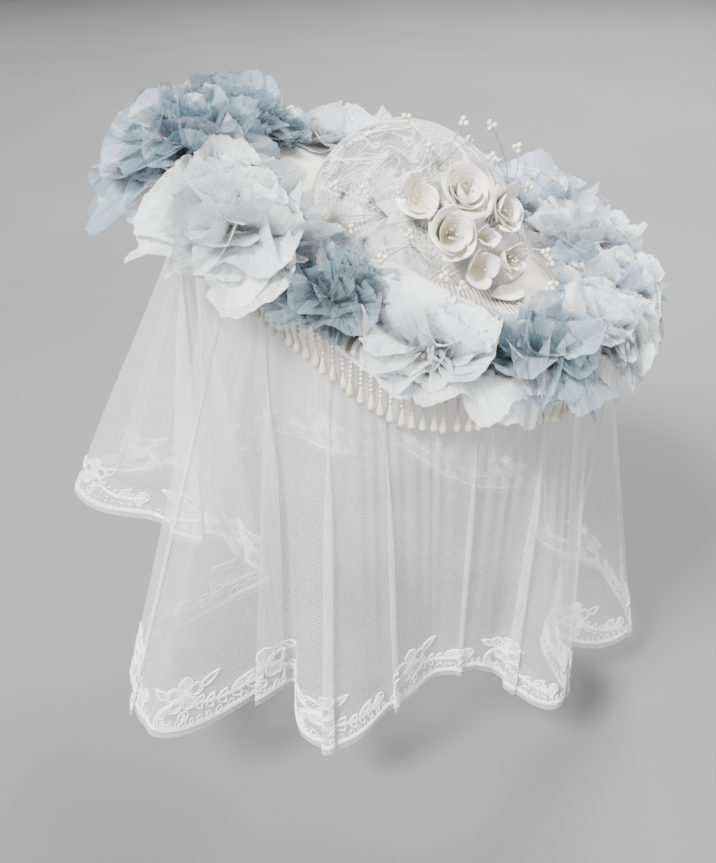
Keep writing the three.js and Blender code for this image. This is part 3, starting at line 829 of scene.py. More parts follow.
def add_group(group, vector, **values):
    tree = vector.id_data
    node = tree.nodes.new("ShaderNodeGroup")
    node.node_tree = group
    tree.links.new(vector, node.inputs["Vector"])
    for label, value in values.items():
        node.inputs[label].default_value = value
    return node.outputs


def new_material(name, roughness, **constants):
    """Material with its shader: constants set its sockets, with _ for a space in a name."""
    material = bpy.data.materials.new(name)
    material.use_nodes = True
    tree = material.node_tree
    shader = tree.nodes["Principled BSDF"]
    shader.inputs["Roughness"].default_value = roughness
    for label, value in constants.items():
        shader.inputs[label.replace("_", " ")].default_value = value
    return material, tree, shader


def flat_place(tree):
    node = tree.nodes.new("ShaderNodeUVMap")
    node.uv_map = UV_NAME
    return node.outputs["UV"]


def object_place(tree):
    return tree.nodes.new("ShaderNodeTexCoord").outputs["Object"]


def add_bump(shader, height, distance, strength=1.0):
    tree = shader.id_data
    node = tree.nodes.new("ShaderNodeBump")
    node.inputs["Distance"].default_value = distance
    node.inputs["Strength"].default_value = strength
    tree.links.new(height, node.inputs["Height"])
    feed(shader, "Normal", node.outputs["Normal"])


def add_weave(shader, count, depth, strength):
    """Fine weave on the cloth's face."""
    weave = add_group(WEAVE, object_place(shader.id_data), Count=count)["Height"]
    add_bump(shader, weave, depth, strength)


def cloudy(place, scale, detail, stops):
    """Tones that drift into each other in soft clouds."""
    return add_ramp(add_noise(place, scale, detail), stops)


def petal_material(name, cover):
    """Crinkled organza: its own tint, deeper at the foot, with bright fibres."""
    material, tree, shader = new_material(name, 0.6, Sheen_Weight=0.35, Sheen_Roughness=0.4)
    place = flat_place(tree)
    tint = tree.nodes.new("ShaderNodeAttribute")
    tint.attribute_name = TINT_NAME
    streaks = add_group(FIBRES, place, Fibres=26.0)
    axes = axes_of(place)
    foot = add_ramp(axes[1], [(0.0, grey(0.62)), (0.45, grey(0.94)), (1.0, grey(1.0))])
    deepened = add_mix(1.0, tint.outputs["Color"], foot, "MULTIPLY")
    bright = add_mix(0.22, tint.outputs["Color"], (0.93, 0.94, 0.96))
    lit = add_mix(streaks["Streaks"], deepened, bright)
    feed(shader, "Base Color", lit)
    ribs = add_group(FIBRES, place, Fibres=9.0)
    fray = add_noise(scaled(place, (1, 0, 1)), 16.0, 3.0)
    rim = plus(times(fray, 0.16), 0.89)
    kept = add_math("LESS_THAN", axes[1], rim)
    folds = plus(times(ribs["Streaks"], 0.2), cover)
    body = plus(times(streaks["Streaks"], 0.34), folds, clamp=True)
    feed(shader, "Alpha", times(body, kept))
    relief = plus(streaks["Height"], times(ribs["Height"], 2.0))
    add_bump(shader, relief, 1.4 * MM, 0.8)
    return material


def net_material(name, pitch, thread, colour):
    material, tree, shader = new_material(name, 0.65, Sheen_Weight=0.2)
    place = flat_place(tree)
    covered = add_group(NET, place, Pitch=pitch, Thread=thread)["Threads"]
    shade = tuple(0.86 * c for c in colour)
    feed(shader, "Base Color", cloudy(place, 45.0, 2.0, [(0.3, shade), (0.7, colour)]))
    feed(shader, "Alpha", covered)
    return material


def crown_material():
    """White lace over satin with a little glitter, and painted shade: greyer towards the top and between
    the lace patches, standing for the dark hollow inside seen through the thin lace.
    """
    material, tree, shader = new_material("crown_lace", 0.5, Sheen_Weight=0.3)
    place = object_place(tree)
    patches = add_noise(place, 52.0, 5.0, 0.62)
    flow = add_noise(scaled(place, (1, 1, 0.6)), 12.0, 3.0, 0.4)
    level = add_math("FRACT", times(flow, 34.0))
    strands = add_math("LESS_THAN", add_math("ABSOLUTE", minus(level, 0.5)), 0.1)
    axes = axes_of(place)
    height = times(axes[2], 1 / CROWN_HEIGHT)
    # Painted shade: rises towards the top and where lace patches are sparse, for the dark inside seen
    # through thin lace.
    top_shade_rise = plus(times(height, 0.6), 1.0)
    see_through_shade = minus(top_shade_rise, times(patches, 2.1))
    colour = add_ramp(see_through_shade, [(0.05, grey(0.52)), (0.28, grey(0.27)), (0.75, grey(0.10))])
    cells = tree.nodes.new("ShaderNodeTexVoronoi")
    cells.inputs["Scale"].default_value = 520.0
    tree.links.new(place, cells.inputs["Vector"])
    glitter = add_math("LESS_THAN", cells.outputs["Distance"], 0.16)
    laced = add_mix(times(strands, 0.5), colour, grey(0.74))
    feed(shader, "Base Color", add_mix(glitter, laced, (0.98, 0.98, 1.0)))
    rough = minus(0.58, times(glitter, 0.4))
    feed(shader, "Roughness", rough)
    weave = add_group(WEAVE, place, Count=4200.0)["Height"]
    relief = plus(times(weave, 0.2), patches)
    relief = plus(relief, times(strands, 0.3))
    add_bump(shader, relief, 1.5 * MM, 0.8)
    return material


def cloth_material(name, light, shade, roughness, count=3200.0, sheen=0.25):
    """Plain cloth with an uneven tone and a fine weave."""
    material, tree, shader = new_material(name, roughness, Sheen_Weight=sheen)
    tones = [(0.35, shade), (0.65, light)]
    feed(shader, "Base Color", cloudy(object_place(tree), 60.0, 4.0, tones))
    add_weave(shader, count, 0.25 * MM, 0.6)
    return material


def pleat_material():
    """Ivory cloth with painted shade down in its pleats, darker along each valley."""
    material, tree, shader = new_material("brim_cloth", 0.6, Sheen_Weight=0.25)
    axes = axes_of(flat_place(tree))
    pitch = 2 * pi * BRIM_RADIUS / BRIM_PLEATS
    phase = times(axes[0], 2 * pi / pitch)
    # Painted shade in the pleats: 1 down in each valley, 0 on each ridge, turned into dark colour below.
    valley_shade = times(plus(add_math("COSINE", phase), 1.0), 0.5)
    shade = add_ramp(valley_shade, [(0.15, (0.86, 0.84, 0.78)), (0.7, (0.36, 0.34, 0.30))])
    tone = cloudy(object_place(tree), 70.0, 4.0, [(0.35, grey(0.88)), (0.6, grey(1.0))])
    feed(shader, "Base Color", add_mix(1.0, shade, tone, "MULTIPLY"))
    add_weave(shader, 3200.0, 0.25 * MM, 0.6)
    return material


def satin_material(name, heart, rim):
    """Ivory satin, creamier towards the heart, with a soft gloss."""
    material, tree, shader = new_material(name, 0.36, Sheen_Weight=0.25, Coat_Weight=0.05)
    place = flat_place(tree)
    axes = axes_of(place)
    colour = add_ramp(axes[1], [(0.15, heart), (0.75, rim)])
    streaks = add_group(FIBRES, place, Fibres=60.0)
    feed(shader, "Base Color", add_mix(0.12, colour, add_mix(streaks["Streaks"], heart, rim)))
    rough = plus(times(streaks["Streaks"], 0.12), 0.3)
    feed(shader, "Roughness", rough)
    add_weave(shader, 6000.0, 0.1 * MM, 0.4)
    return material


def pearl_material(name):
    material, tree, shader = new_material(name, 0.2, Coat_Weight=1.0, Coat_Roughness=0.05)
    place = object_place(tree)
    clouds = add_noise(place, 180.0, 2.0)
    tones = [(0.3, (0.66, 0.58, 0.44)), (0.5, (0.78, 0.71, 0.58)), (0.7, (0.86, 0.81, 0.72))]
    colour = add_ramp(clouds, tones)
    feed(shader, "Base Color", colour)
    rough = plus(times(clouds, 0.15), 0.12)
    feed(shader, "Roughness", rough)
    return material


def wire_material():
    material, tree, shader = new_material("spray_wire", 0.28, Metallic=1.0)
    tones = [(0.3, grey(0.34)), (0.7, grey(0.7))]
    feed(shader, "Base Color", cloudy(object_place(tree), 900.0, 2.0, tones))
    return material


CROWN_THREAD = cloth_material("crown_thread", grey(0.78), grey(0.66), 0.5, 9000.0)
LACE_THREAD = cloth_material("embroidery_thread", grey(0.95), grey(0.88), 0.5, 9000.0)
PEARL = pearl_material("pearl")
WIRE = wire_material()


# Crown and brim

def make_crown():
    """Dome from half a sphere, shaped to the crown's oval and lean, with its wall."""
    bpy.ops.mesh.primitive_uv_sphere_add(segments=96, ring_count=48, radius=1)
    crown = bpy.context.object
    crown.name = "crown"
    bpy.ops.object.mode_set(mode="EDIT")
    bpy.ops.mesh.select_all(action="SELECT")
    bpy.ops.mesh.bisect(plane_co=(0, 0, 0), plane_no=(0, 0, 1), clear_inner=True)
    bpy.ops.object.mode_set(mode="OBJECT")
    for vertex in crown.data.vertices:
        x, y, z = vertex.co
        up = min(1, max(0, z)) ** (2 / CROWN_ROUNDNESS)
        vertex.co = HAT @ crown_point(degrees(atan2(x, -y)), up)
    give_wall(crown, CROWN_WALL, -1.0)
    face_outwards(crown)
    smooth_shade(crown, 50)
    return dress(crown, crown_material(), ["crown_shell"])


def on_crown(turn, up, along, rise, off):
    """Point off the crown, from a spot on it and small distances along and up its face."""
    dome = sqrt(max(0.05, 1 - min(0.97, max(0, up)) ** CROWN_ROUNDNESS))
    t = turn + degrees(along / (oval_radius(turn) * dome))
    slope = (crown_point(turn, min(0.97, up + 0.02)) - crown_point(turn, min(0.95, up))).length / 0.02
    u = up + rise / slope
    u = min(0.985, max(0.012, u))
    return HAT @ (crown_point(t, u) + crown_normal(t, u) * off)


def turned(x, y, angle, along, across):
    """Point at a way along and across from a foot that faces an angle."""
    ahead = along * cos(angle) - across * sin(angle)
    up = along * sin(angle) + across * cos(angle)
    return (x + ahead, y + up)


def leaf_loop(x, y, angle, length, width, steps=7, full=0.8):
    """Leaf outline from its foot, as a closed route in the plane; a high full gives a round tip."""
    route = []
    for i in range(2 * steps + 1):
        share = 1 - abs(i / steps - 1)
        side = 1 if i < steps else -1
        route.append(turned(x, y, angle, length * share, side * width * sin(pi * share ** full) / 2))
    return route


def curl(x, y, angle, size, turns, steps=22, hand=1):
    """Spiral from its outer end to its middle, in the plane."""
    route = []
    for i in range(steps + 1):
        share = i / steps
        radius = size * (1 - share) ** 0.8
        a = angle + hand * turns * 2 * pi * share
        route.append((x + radius * cos(a), y + radius * sin(a)))
    return route


def sprig(size):
    """Lace sprig: a bowed stem with pairs of leaves, a curl and a flower at its end."""
    routes = []
    stem = [(0.12 * size * sin(2.6 * s), size * s) for s in [i / 12 for i in range(13)]]
    routes.append(stem)
    for i, share in enumerate((0.18, 0.38, 0.58)):
        for hand in (1, -1):
            x = 0.12 * size * sin(2.6 * share)
            angle = pi / 2 - hand * (1.05 - 0.1 * i)
            routes.append(leaf_loop(x, size * share, angle, size * (0.42 - 0.07 * i), size * 0.15))
    routes.append(curl(-0.2 * size, 0.86 * size, 0, 0.14 * size, 1.6))
    for k in range(6):
        routes.append(leaf_loop(0.05 * size, size, k * pi / 3, size * 0.22, size * 0.13, 6))
    return routes


def make_crown_lace():
    """Embroidered sprigs in staggered rows, and long bowed lines that sweep over the crown."""
    rng = random.Random(3)
    routes = []
    for row in CROWN_SPRIGS:
        for k in range(row.count):
            turn = (k + rng.uniform(-0.15, 0.15)) / row.count * 360 + row.up * 50
            lean = rng.uniform(-0.7, 0.7)
            for route in sprig(row.size * rng.uniform(0.85, 1.1)):
                leaning = [turned(0, 0, lean, x, y) for x, y in route]
                routes.append([on_crown(turn, row.up, x, y, CROWN_STITCH_OFF) for x, y in leaning])
    for k in range(CROWN_SWEEPS):
        start = k / CROWN_SWEEPS * 360 + rng.uniform(-5, 5)
        sweep = rng.uniform(35, 80)
        for line in range(3):
            route = []
            for i in range(SWEEP_STEPS + 1):
                share = i / SWEEP_STEPS
                u = 0.02 + (0.95 - 0.2 * (k % 3)) * share
                bow = sweep * share * share + 9 * sin(share * 5 + k)
                apart = line * (2.5 + 2 * sin(3 * share + k))
                route.append(on_crown(start + bow + apart, u, 0, 0, CROWN_SWEEP_OFF))
            routes.append(route)
    lace = threads("crown_lace", routes, CROWN_STITCH_RADIUS)
    smooth_shade(lace)
    return dress(lace, CROWN_THREAD)


def make_brim():
    """Finely pleated brim from the foot of the crown to its wavy edge."""
    columns = 2 * BRIM_PLEATS
    rows = 14

    def place(c, r):
        turn = c / columns * 360 - 180
        foot = oval_radius(turn, CROWN_HALF_WIDTH + BRIM_FOOT_GAP, CROWN_HALF_DEPTH + BRIM_FOOT_GAP)
        radius = lerp(foot, brim_edge(turn), r / rows)
        ridge = PLEAT_DEPTH * (1 if c % 2 else -1) * (0.45 + 0.55 * r / rows)
        waver = 0.7 * sin(r * 0.9 + turn * 0.05)
        return HAT @ polar(turn + waver, radius, brim_height(turn, radius) + ridge)

    def cloth(c, r):
        return (c / columns * 2 * pi * BRIM_RADIUS, r / rows * (BRIM_RADIUS - CROWN_HALF_WIDTH))

    brim = woven("brim", columns, rows, True, place, cloth)
    give_wall(brim, BRIM_WALL * 0.7)
    face_outwards(brim)
    smooth_shade(brim, 80)
    return dress(brim, pleat_material(), ["brim_plate"])


# Veil and its lace border

def scallop_share(distance):
    """Share of the scallop's depth that the lace keeps at a place along the hem."""
    return abs(sin(pi * distance / (HEM_LENGTH / SCALLOPS)))


def lace_top(distance):
    """Height of the lace over the hem: it rises in a round bump over each flower."""
    off = (distance / (HEM_LENGTH / SCALLOPS)) % 1 - LACE_FLOWER_AT
    return LACE_HEIGHT * (LACE_LOW_SHARE + (1 - LACE_LOW_SHARE) * exp(-((off / 0.22) ** 4)))


def along_hem(turn):
    return float(np.interp(turn, HEM_TURNS, HEM_LENGTHS))


def make_veil():
    rows = 30

    def place(c, r):
        turn = c / VEIL_COLUMNS * 360 - 180
        end = 1 - lace_top(along_hem(turn)) / line_length(turn)
        return veil_point(turn, end * r / rows)

    def cloth(c, r):
        turn = c / VEIL_COLUMNS * 360 - 180
        along = HEM_LENGTH if c == VEIL_COLUMNS else along_hem(turn)
        return (along, (line_length(turn) - lace_top(along)) * r / rows)

    veil = woven("veil", VEIL_COLUMNS, rows, True, place, cloth)
    smooth_shade(veil, 80)
    material = net_material("veil_net", VEIL_NET_PITCH, VEIL_NET_COVER, VEIL_WHITE)
    return dress(veil, material, ["veil_net"])


def make_lace_ground():
    """Net ground of the lace border, cut in scallops along the hem."""
    rows = 6

    def place(c, r):
        turn = c / VEIL_COLUMNS * 360 - 180
        along = along_hem(turn)
        low = SCALLOP_DEPTH * (1 - scallop_share(along))
        share = 1 - lerp(lace_top(along), low, r / rows) / line_length(turn)
        return veil_point(turn, share)

    def cloth(c, r):
        along = HEM_LENGTH * c / VEIL_COLUMNS
        return (along, LACE_HEIGHT * r / rows)

    ground = woven("lace_ground", VEIL_COLUMNS, rows, True, place, cloth)
    smooth_shade(ground, 80)
    material = net_material("lace_ground_net", LACE_NET_PITCH, LACE_NET_COVER, LACE_NET_WHITE)
    return dress(ground, material, ["veil_lace_border"])


def arc(x, y, radius, start, end, steps):
    angles = [radians(lerp(start, end, i / steps)) for i in range(steps + 1)]
    return [(x + radius * cos(a), y + radius * sin(a)) for a in angles]


def stitched_leaf(x, y, angle, length, width, full=0.8):
    """Leaf outline and the zigzag stitches that fill it."""
    stitches = []
    for i in range(13):
        share = 0.1 + 0.065 * i
        side = 0.38 * width * sin(pi * share ** full) * (1 if i % 2 else -1)
        stitches.append(turned(x, y, angle, share * length, side))
    return leaf_loop(x, y, angle, length, width, 8, full), stitches


def lace_motif(repeat):
    """Strokes of one scallop, along the hem and up from its lowest point."""
    heavy = []
    light = []

    def edge(x, rise):
        return SCALLOP_DEPTH * (1 - sin(pi * x / repeat)) + rise

    steps = 28
    marks = [repeat * i / steps for i in range(steps + 1)]
    heavy.append([(x, edge(x, EDGE_CORD_HEIGHT)) for x in marks])
    for i in range(2):
        zigzag = []
        for k in range(EDGE_STITCHES + 1):
            x = repeat * k / EDGE_STITCHES
            zigzag.append((x, edge(x, (6.8 + 1.6 * ((k + i) % 2)) * MM)))
        heavy.append(zigzag)
    for k in range(EDGE_LOOPS):
        x = repeat * (k + 0.5) / EDGE_LOOPS
        light.append(leaf_loop(x, edge(x, EDGE_CORD_HEIGHT + 1 * MM), pi / 2, 6 * MM, 3.4 * MM, 4))

    flower = (LACE_FLOWER_AT * repeat, LACE_FLOWER_HEIGHT)
    for k in range(LACE_PETALS):
        angle = radians(90 + 360 / LACE_PETALS * k)
        outline, filling = stitched_leaf(*flower, angle, LACE_PETAL_LENGTH, LACE_PETAL_WIDTH, ROUND_TIP)
        heavy.append(outline)
        light.append(filling)
        inner_width = LACE_PETAL_WIDTH - 3 * MM
        light.append(leaf_loop(*flower, angle, LACE_PETAL_LENGTH - 2.5 * MM, inner_width, 6, ROUND_TIP))
    for k in range(10):
        angle = radians(36 * k + 8)
        heavy.append([turned(*flower, angle, 3.4 * MM, 0), turned(*flower, angle, 7.5 * MM, 0.8 * MM)])
    heavy.append(curl(*flower, 0, 3 * MM, 2, 12))
    for leaf in LACE_LEAVES:
        foot = (flower[0] + leaf.across, flower[1] + leaf.up)
        outline, filling = stitched_leaf(*foot, radians(leaf.aim), leaf.length, LACE_LEAF_WIDTH)
        heavy.append(outline)
        light.append(filling)

    scroll = (flower[0] - 8 * MM, SCROLL_HEIGHT)
    heavy.append(arc(*scroll, SCROLL_RADIUS, 75, 330, 20))
    heavy.append(arc(*scroll, SCROLL_RADIUS - 1.9 * MM, 95, 300, 18))
    heavy.append(curl(scroll[0] + 10 * MM, scroll[1] - 2.5 * MM, -1.2, 5.6 * MM, 1.7, 18))
    for i in range(9):
        angle = radians(108 + 21 * i)
        root = turned(*scroll, angle, 10.2 * MM, 0)
        tip = turned(*scroll, angle, 6.4 * MM, 0.8 * MM)
        heavy.append([root, tip, turned(*scroll, angle, 10 * MM, 1.6 * MM)])

    start = flower[0] + 10 * MM
    reach = repeat - 48 * MM
    stem = [(start + reach * i / 12, (31 - 6 * sin(pi * i / 12)) * MM) for i in range(13)]
    heavy.append(stem)
    heavy.append([(x, y + 1.8 * MM) for x, y in stem])
    for i in range(1, 12, 2):
        x, y = stem[i]
        for side in (1, -1):
            heavy.append(leaf_loop(x, y, side * radians(62), 8 * MM, 4.4 * MM, 5))
    heavy.append(curl(stem[-1][0], stem[-1][1] + 4 * MM, -1.5, 5.5 * MM, 1.6, 18))
    return heavy, light


def make_lace_threads():
    repeat = HEM_LENGTH / SCALLOPS
    heavy, light = lace_motif(repeat)
    pieces = []
    for name, motif, radius in (
        ("lace_heavy", heavy, HEAVY_STITCH_RADIUS), ("lace_light", light, LIGHT_STITCH_RADIUS),
    ):
        routes = []
        for k in range(SCALLOPS):
            for stroke in motif:
                route = []
                for x, y in stroke:
                    turn = hem_turn(k * repeat + x)
                    share = 1 - y / line_length(turn)
                    route.append(veil_point(turn, share) + veil_out(turn, share) * LACE_STAND_OFF)
                routes.append(route)
        pieces.append(threads(name, routes, radius))
    lace = join_pieces("lace_threads", pieces)
    smooth_shade(lace)
    return dress(lace, LACE_THREAD)


# Pearl fringe

def ball(segments, rings, radius):
    deselect_all()
    bpy.ops.mesh.primitive_uv_sphere_add(segments=segments, ring_count=rings, radius=radius)
    return bpy.context.object


def drop_form():
    """Pearl drop: a ball whose upper half is drawn out to a neck."""
    drop = ball(10, 9, 1)
    for vertex in drop.data.vertices:
        z = vertex.co.z
        neck = 1 - 0.42 * smoothstep(z, 0, 0.8)
        vertex.co.x *= DROP_RADIUS * neck
        vertex.co.y *= DROP_RADIUS * neck
        drawn = DROP_RADIUS if z < 0 else DROP_LENGTH - DROP_RADIUS
        vertex.co.z = DROP_RADIUS - DROP_LENGTH / 2 + drawn * z
    return form_of(drop)


def make_fringe():
    """Strands of seed pearls with a drop each, on a narrow band under the brim's edge."""
    perimeter = sum(brim_edge(t) * radians(1) for t in range(360))
    strands = round(perimeter / FRINGE_PITCH)
    seed = form_of(ball(8, 5, SEED_RADIUS))
    drop = drop_form()
    end_bead = form_of(ball(6, 4, END_BEAD_RADIUS))
    rng = random.Random(5)
    parts = []
    lines = []
    for k in range(strands):
        turn = k / strands * 360
        top = hang_point(turn, FRINGE_INSET)
        top.z -= FRINGE_BAND * 0.6
        sway = Vector((rng.uniform(-0.05, 0.05), rng.uniform(-0.05, 0.05), -1)).normalized()
        down = FRINGE_BARE_THREAD
        for _ in range(SEEDS_PER_STRAND):
            parts.append((seed, Matrix.Translation(top + sway * (down + SEED_RADIUS)), (1, 1, 1)))
            down += 2.3 * SEED_RADIUS
        middle = top + sway * (down + DROP_LENGTH / 2)
        parts.append((drop, Matrix.Translation(middle), (1, 1, 1)))
        end = middle + sway * (DROP_LENGTH / 2 + 0.7 * END_BEAD_RADIUS)
        parts.append((end_bead, Matrix.Translation(end), (1, 1, 1)))
        lines.append([top, middle])
    beads = joined("fringe_beads", parts)
    strings = threads("fringe_threads", lines, THREAD_RADIUS)

    def place(c, r):
        point = hang_point(c, FRINGE_INSET)
        point.z -= FRINGE_BAND * r / 2
        return point

    band = woven("fringe_band", 360, 2, True, place, lambda c, r: (c, r))
    give_wall(band, FRINGE_BAND_WALL)
    for piece in (beads, strings, band):
        smooth_shade(piece, 60)
        dress(piece, PEARL if piece == beads else LACE_THREAD)
    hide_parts("pearl_fringe")


# Petal flowers

def petal_form(shape, seed):
    """Crinkled petal of length 1 that fans out along +Y from its foot."""

    def place(u, v):
        fan = radians(shape.fan) * u
        jag = 1 + 0.09 * noise.noise(Vector((2.6 * u, seed * 3.1, 0.3))) + 0.014 * sin(9 * u + seed)
        reach = v * cos(1.35 * u) ** shape.rim * jag
        narrow = 1 - shape.pinch * smoothstep(v, 0.3, 1.0)
        wave = sin(shape.waves * pi * u + seed)
        fine = sin(9 * u + 3 * v + 3 * seed) + 0.6 * sin(15 * u - 2 * v + seed)
        crease = noise.noise(Vector((2.1 * u, 2.3 * v, seed * 1.7)))
        z = shape.cup * u * u * v + shape.curl * v * v
        z += shape.depth * wave * v ** 1.8 + 0.026 * fine * v ** 3 + 0.14 * crease * v
        z += shape.pinch * 0.25 * abs(u) * v
        return (reach * sin(fan) * narrow, reach * cos(fan), z)

    return grid_form(20, 6, place)


PETAL_FORMS = [petal_form(shape, k + 0.5) for k, shape in enumerate(PETALS)]
FOLDED_PETALS = [k for k, shape in enumerate(PETALS) if shape.pinch > 0.5]
OPEN_PETALS = [k for k, shape in enumerate(PETALS) if shape.pinch <= 0.5]


def petal_reach(row, centre, direction):
    """Way from a flower's middle to the edge of its own share of the brim."""
    reach = FLOWER_RADIUS * row.size
    for turn, sign in ((row.start, 1), (row.end, -1)):
        edge = polar(turn, 1, 0)
        inside = sign * (edge.x * centre.y - edge.y * centre.x)
        closing = -sign * (edge.x * direction.y - edge.y * direction.x)
        if closing > 1e-6:
            reach = min(reach, PETAL_OVERLAP * inside / closing)
    edge = brim_edge(row.turn)
    while reach > PETAL_LEAST_REACH:
        radius = (centre + direction * reach).length
        if row.inner * edge < radius < row.outer * edge:
            break
        reach -= 1 * MM
    return reach


def make_flower(row, number):
    rng = random.Random(100 + number)
    tints = row.tints.split()
    centre = polar(row.turn, row.out * brim_edge(row.turn), 0)
    base = brim_face(row.turn, centre.length, 1)
    parts = []
    falls = []
    for level, tier in enumerate(PETAL_TIERS):
        share = level / (len(PETAL_TIERS) - 1)
        count = round(tier.count * row.many)
        for k in range(count):
            angle = (k + 0.5 * (level % 2)) / count * 360 + rng.uniform(-14, 14)
            direction = polar(angle + row.turn, 1, 0)
            rise = min(80, tier.rise * row.tall + rng.uniform(-4, 13))
            reach = petal_reach(row, centre, direction) * tier.size * rng.uniform(0.8, 1.08)
            stand = reach * row.ring * (1 - share) * rng.uniform(0.7, 1.1)
            level_length = (reach - stand) / max(0.72, cos(radians(rise)))
            length = max(PETAL_SHORTEST, min(PETAL_LONGEST, level_length))
            top = FLOWER_LIFT * row.tall * rng.uniform(0.8, 1.05)
            length = min(length, top / max(0.2, sin(radians(rise))))
            folded = rng.random() < row.spikes
            pick = rng.choice(FOLDED_PETALS if folded else OPEN_PETALS)
            wide = rng.uniform(0.85, 1.15)
            foot = centre + direction * (stand + 1 * MM) + Vector((0, 0, base + tier.foot))
            matrix = (
                Matrix.Translation(foot)
                @ spin(angle + row.turn + 180, "Z")
                @ spin(rise, "X")
                @ spin(rng.uniform(-20, 20), "Y")
                @ Matrix.Diagonal((length * wide, length, length, 1))
            )
            tone = rng.uniform(0.9, 1.05)
            tint = tuple(min(1, c * tone) for c in TINTS[rng.choice(tints)])
            parts.append((PETAL_FORMS[pick], matrix, tint))
            falls.extend([lerp(row.droop, row.nod, share)] * len(PETAL_FORMS[pick].points))
    flower = joined("petals_" + row.name, parts)
    for vertex, fall in zip(flower.data.vertices, falls):
        p = vertex.co.copy()
        turn = turn_of(p)
        radius = hypot(p.x, p.y)
        past = radius - brim_edge(turn)
        if past > 0:
            p.z -= fall * max(0, past - PETAL_FREE_EDGE)
        else:
            p.z = max(p.z, brim_face(turn, radius, 1) + PETAL_CLEAR)
        vertex.co = HAT @ p
    give_wall(flower, PETAL_WALL)
    smooth_shade(flower, 75)
    colour = "blue" if row.name.startswith("blue") else "white"
    return dress(flower, PETAL_MATERIALS[colour], ["flower_" + row.name])


PETAL_MATERIALS = {
    "white": petal_material("petal_white", 0.16),
    "blue": petal_material("petal_blue", 0.1),
}


# Satin roses and leaves

def rose_petal(mouth, depth, span, roll, point):
    """Petal that wraps part of a cup, with a rolled rim and a soft point."""

    def place(u, v):
        angle = radians(span) * u
        body = 0.04 + 0.96 * sin(pi / 2 * min(1, v * 1.05)) ** 0.75
        edge = smoothstep(v, 0.68, 1)
        tip = 1 - 0.26 * u * u * abs(u) + point * max(0, 1 - 2.4 * abs(u)) ** 1.5
        radius = mouth * (body + roll * edge + 0.13 * u * v)
        wave = 0.05 * sin(4 * u + 7 * v + 20 * point)
        z = depth * (v * tip + wave * v - 0.7 * roll * edge ** 3)
        return (radius * sin(angle), radius * cos(angle), z)

    return grid_form(10, 7, place)


def make_rose(row, number):
    rng = random.Random(40 + number)
    mouth = ROSE_RADIUS * row.mouth
    depth = ROSE_DEPTH * row.depth
    seat = crown_point(row.turn, row.seat)
    out = crown_normal(row.turn, row.seat)
    upright = UP.rotation_difference(out).to_matrix().to_4x4()
    stand = Matrix.Translation(seat + out * ROSE_SEAT_GAP) @ upright
    parts = []
    for ring, count in zip(ROSE_RINGS, (row.outer, row.middle, row.inner)):
        outermost = ring is ROSE_RINGS[0]
        start = row.first if outermost else rng.uniform(0, 360)
        for k in range(count):
            tall = row.tall if k == 0 and outermost else 1
            point = rng.uniform(0.02, 0.22) * tall
            roll = ring.roll * rng.uniform(0.5, 1.2)
            form = rose_petal(mouth * ring.size, depth * ring.high * tall, ring.span / tall, roll, point)
            placed = stand @ spin(start + k * 360 / count, "Z") @ spin(rng.uniform(-5, 5), "X")
            parts.append((form, placed, (1, 1, 1)))
    rose = joined(row.name + "_petals", parts)
    for vertex in rose.data.vertices:
        vertex.co = HAT @ vertex.co
    give_wall(rose, SATIN_WALL)
    subdivide(rose, 1)
    smooth_shade(rose, 70)
    dress(rose, ROSE_SATIN, [row.name])
    if row.stamens:
        make_stamens(row, stand, mouth, depth, rng)


def make_stamens(row, stand, mouth, depth, rng):
    """Short threads with a silvery bead each, from the heart of a rose."""
    bead = form_of(ball(10, 8, STAMEN_BEAD_RADIUS))
    routes = []
    beads = []
    for k in range(row.stamens):
        angle = k * 2.4
        lean = 0.16 + 0.2 * sqrt(k / row.stamens)
        foot = stand @ Vector((0, 0, 0.2 * depth))
        high = rng.uniform(0.62, 0.86)
        end = stand @ Vector((lean * mouth * cos(angle), lean * mouth * sin(angle), high * depth))
        routes.append([HAT @ foot, HAT @ end])
        beads.append((bead, Matrix.Translation(HAT @ end), (1, 1, 1)))
    stems = threads(row.name + "_stems", routes, STAMEN_RADIUS)
    dress(stems, WIRE)
    heads = joined(row.name + "_stamens", beads)
    smooth_shade(heads)
    dress(heads, PEARL)


def make_leaf(row):
    """Pointed satin blade that lies on the brim along the foot of the crown."""
    columns = 28
    rows = 8

    def place(c, r):
        along = c / columns
        turn = lerp(row.start, row.end, along)
        middle = oval_radius(turn) + row.clear * LEAF_WIDTH
        half = LEAF_WIDTH / 2 * max(0.06, sin(pi * along ** 0.9))
        across = 2 * r / rows - 1
        radius = middle + across * half
        fold = abs(across) ** 1.3 * half * 0.34
        ripple = 0.5 * MM * sin(9 * along + 2 * across)
        return HAT @ polar(turn, radius, brim_face(turn, radius, 1) + LEAF_CLEAR + fold + ripple)

    leaf = woven(row.name + "_cloth", columns, rows, False, place, lambda c, r: (r / rows, c / columns))
    give_wall(leaf, SATIN_WALL)
    subdivide(leaf, 1)
    smooth_shade(leaf, 70)
    return dress(leaf, LEAF_SATIN, [row.name])


ROSE_SATIN = satin_material("rose_satin", (0.70, 0.64, 0.44), (0.90, 0.88, 0.82))
LEAF_SATIN = satin_material("leaf_satin", (0.60, 0.59, 0.53), (0.76, 0.75, 0.69))


# Pearl sprays

def spray_point(spot):
    up = min(spot.up, 0.92)
    p = crown_point(spot.turn, up) + crown_normal(spot.turn, up) * (spot.off * SPRAY_STAND_OFF)
    p.z += (spot.up - up) * CROWN_HEIGHT
    return p


def curve_through(start, bend, end, share):
    """Smooth route through its bend."""
    control = 2 * bend - (start + end) / 2
    return start.lerp(control, share).lerp(control.lerp(end, share), share)


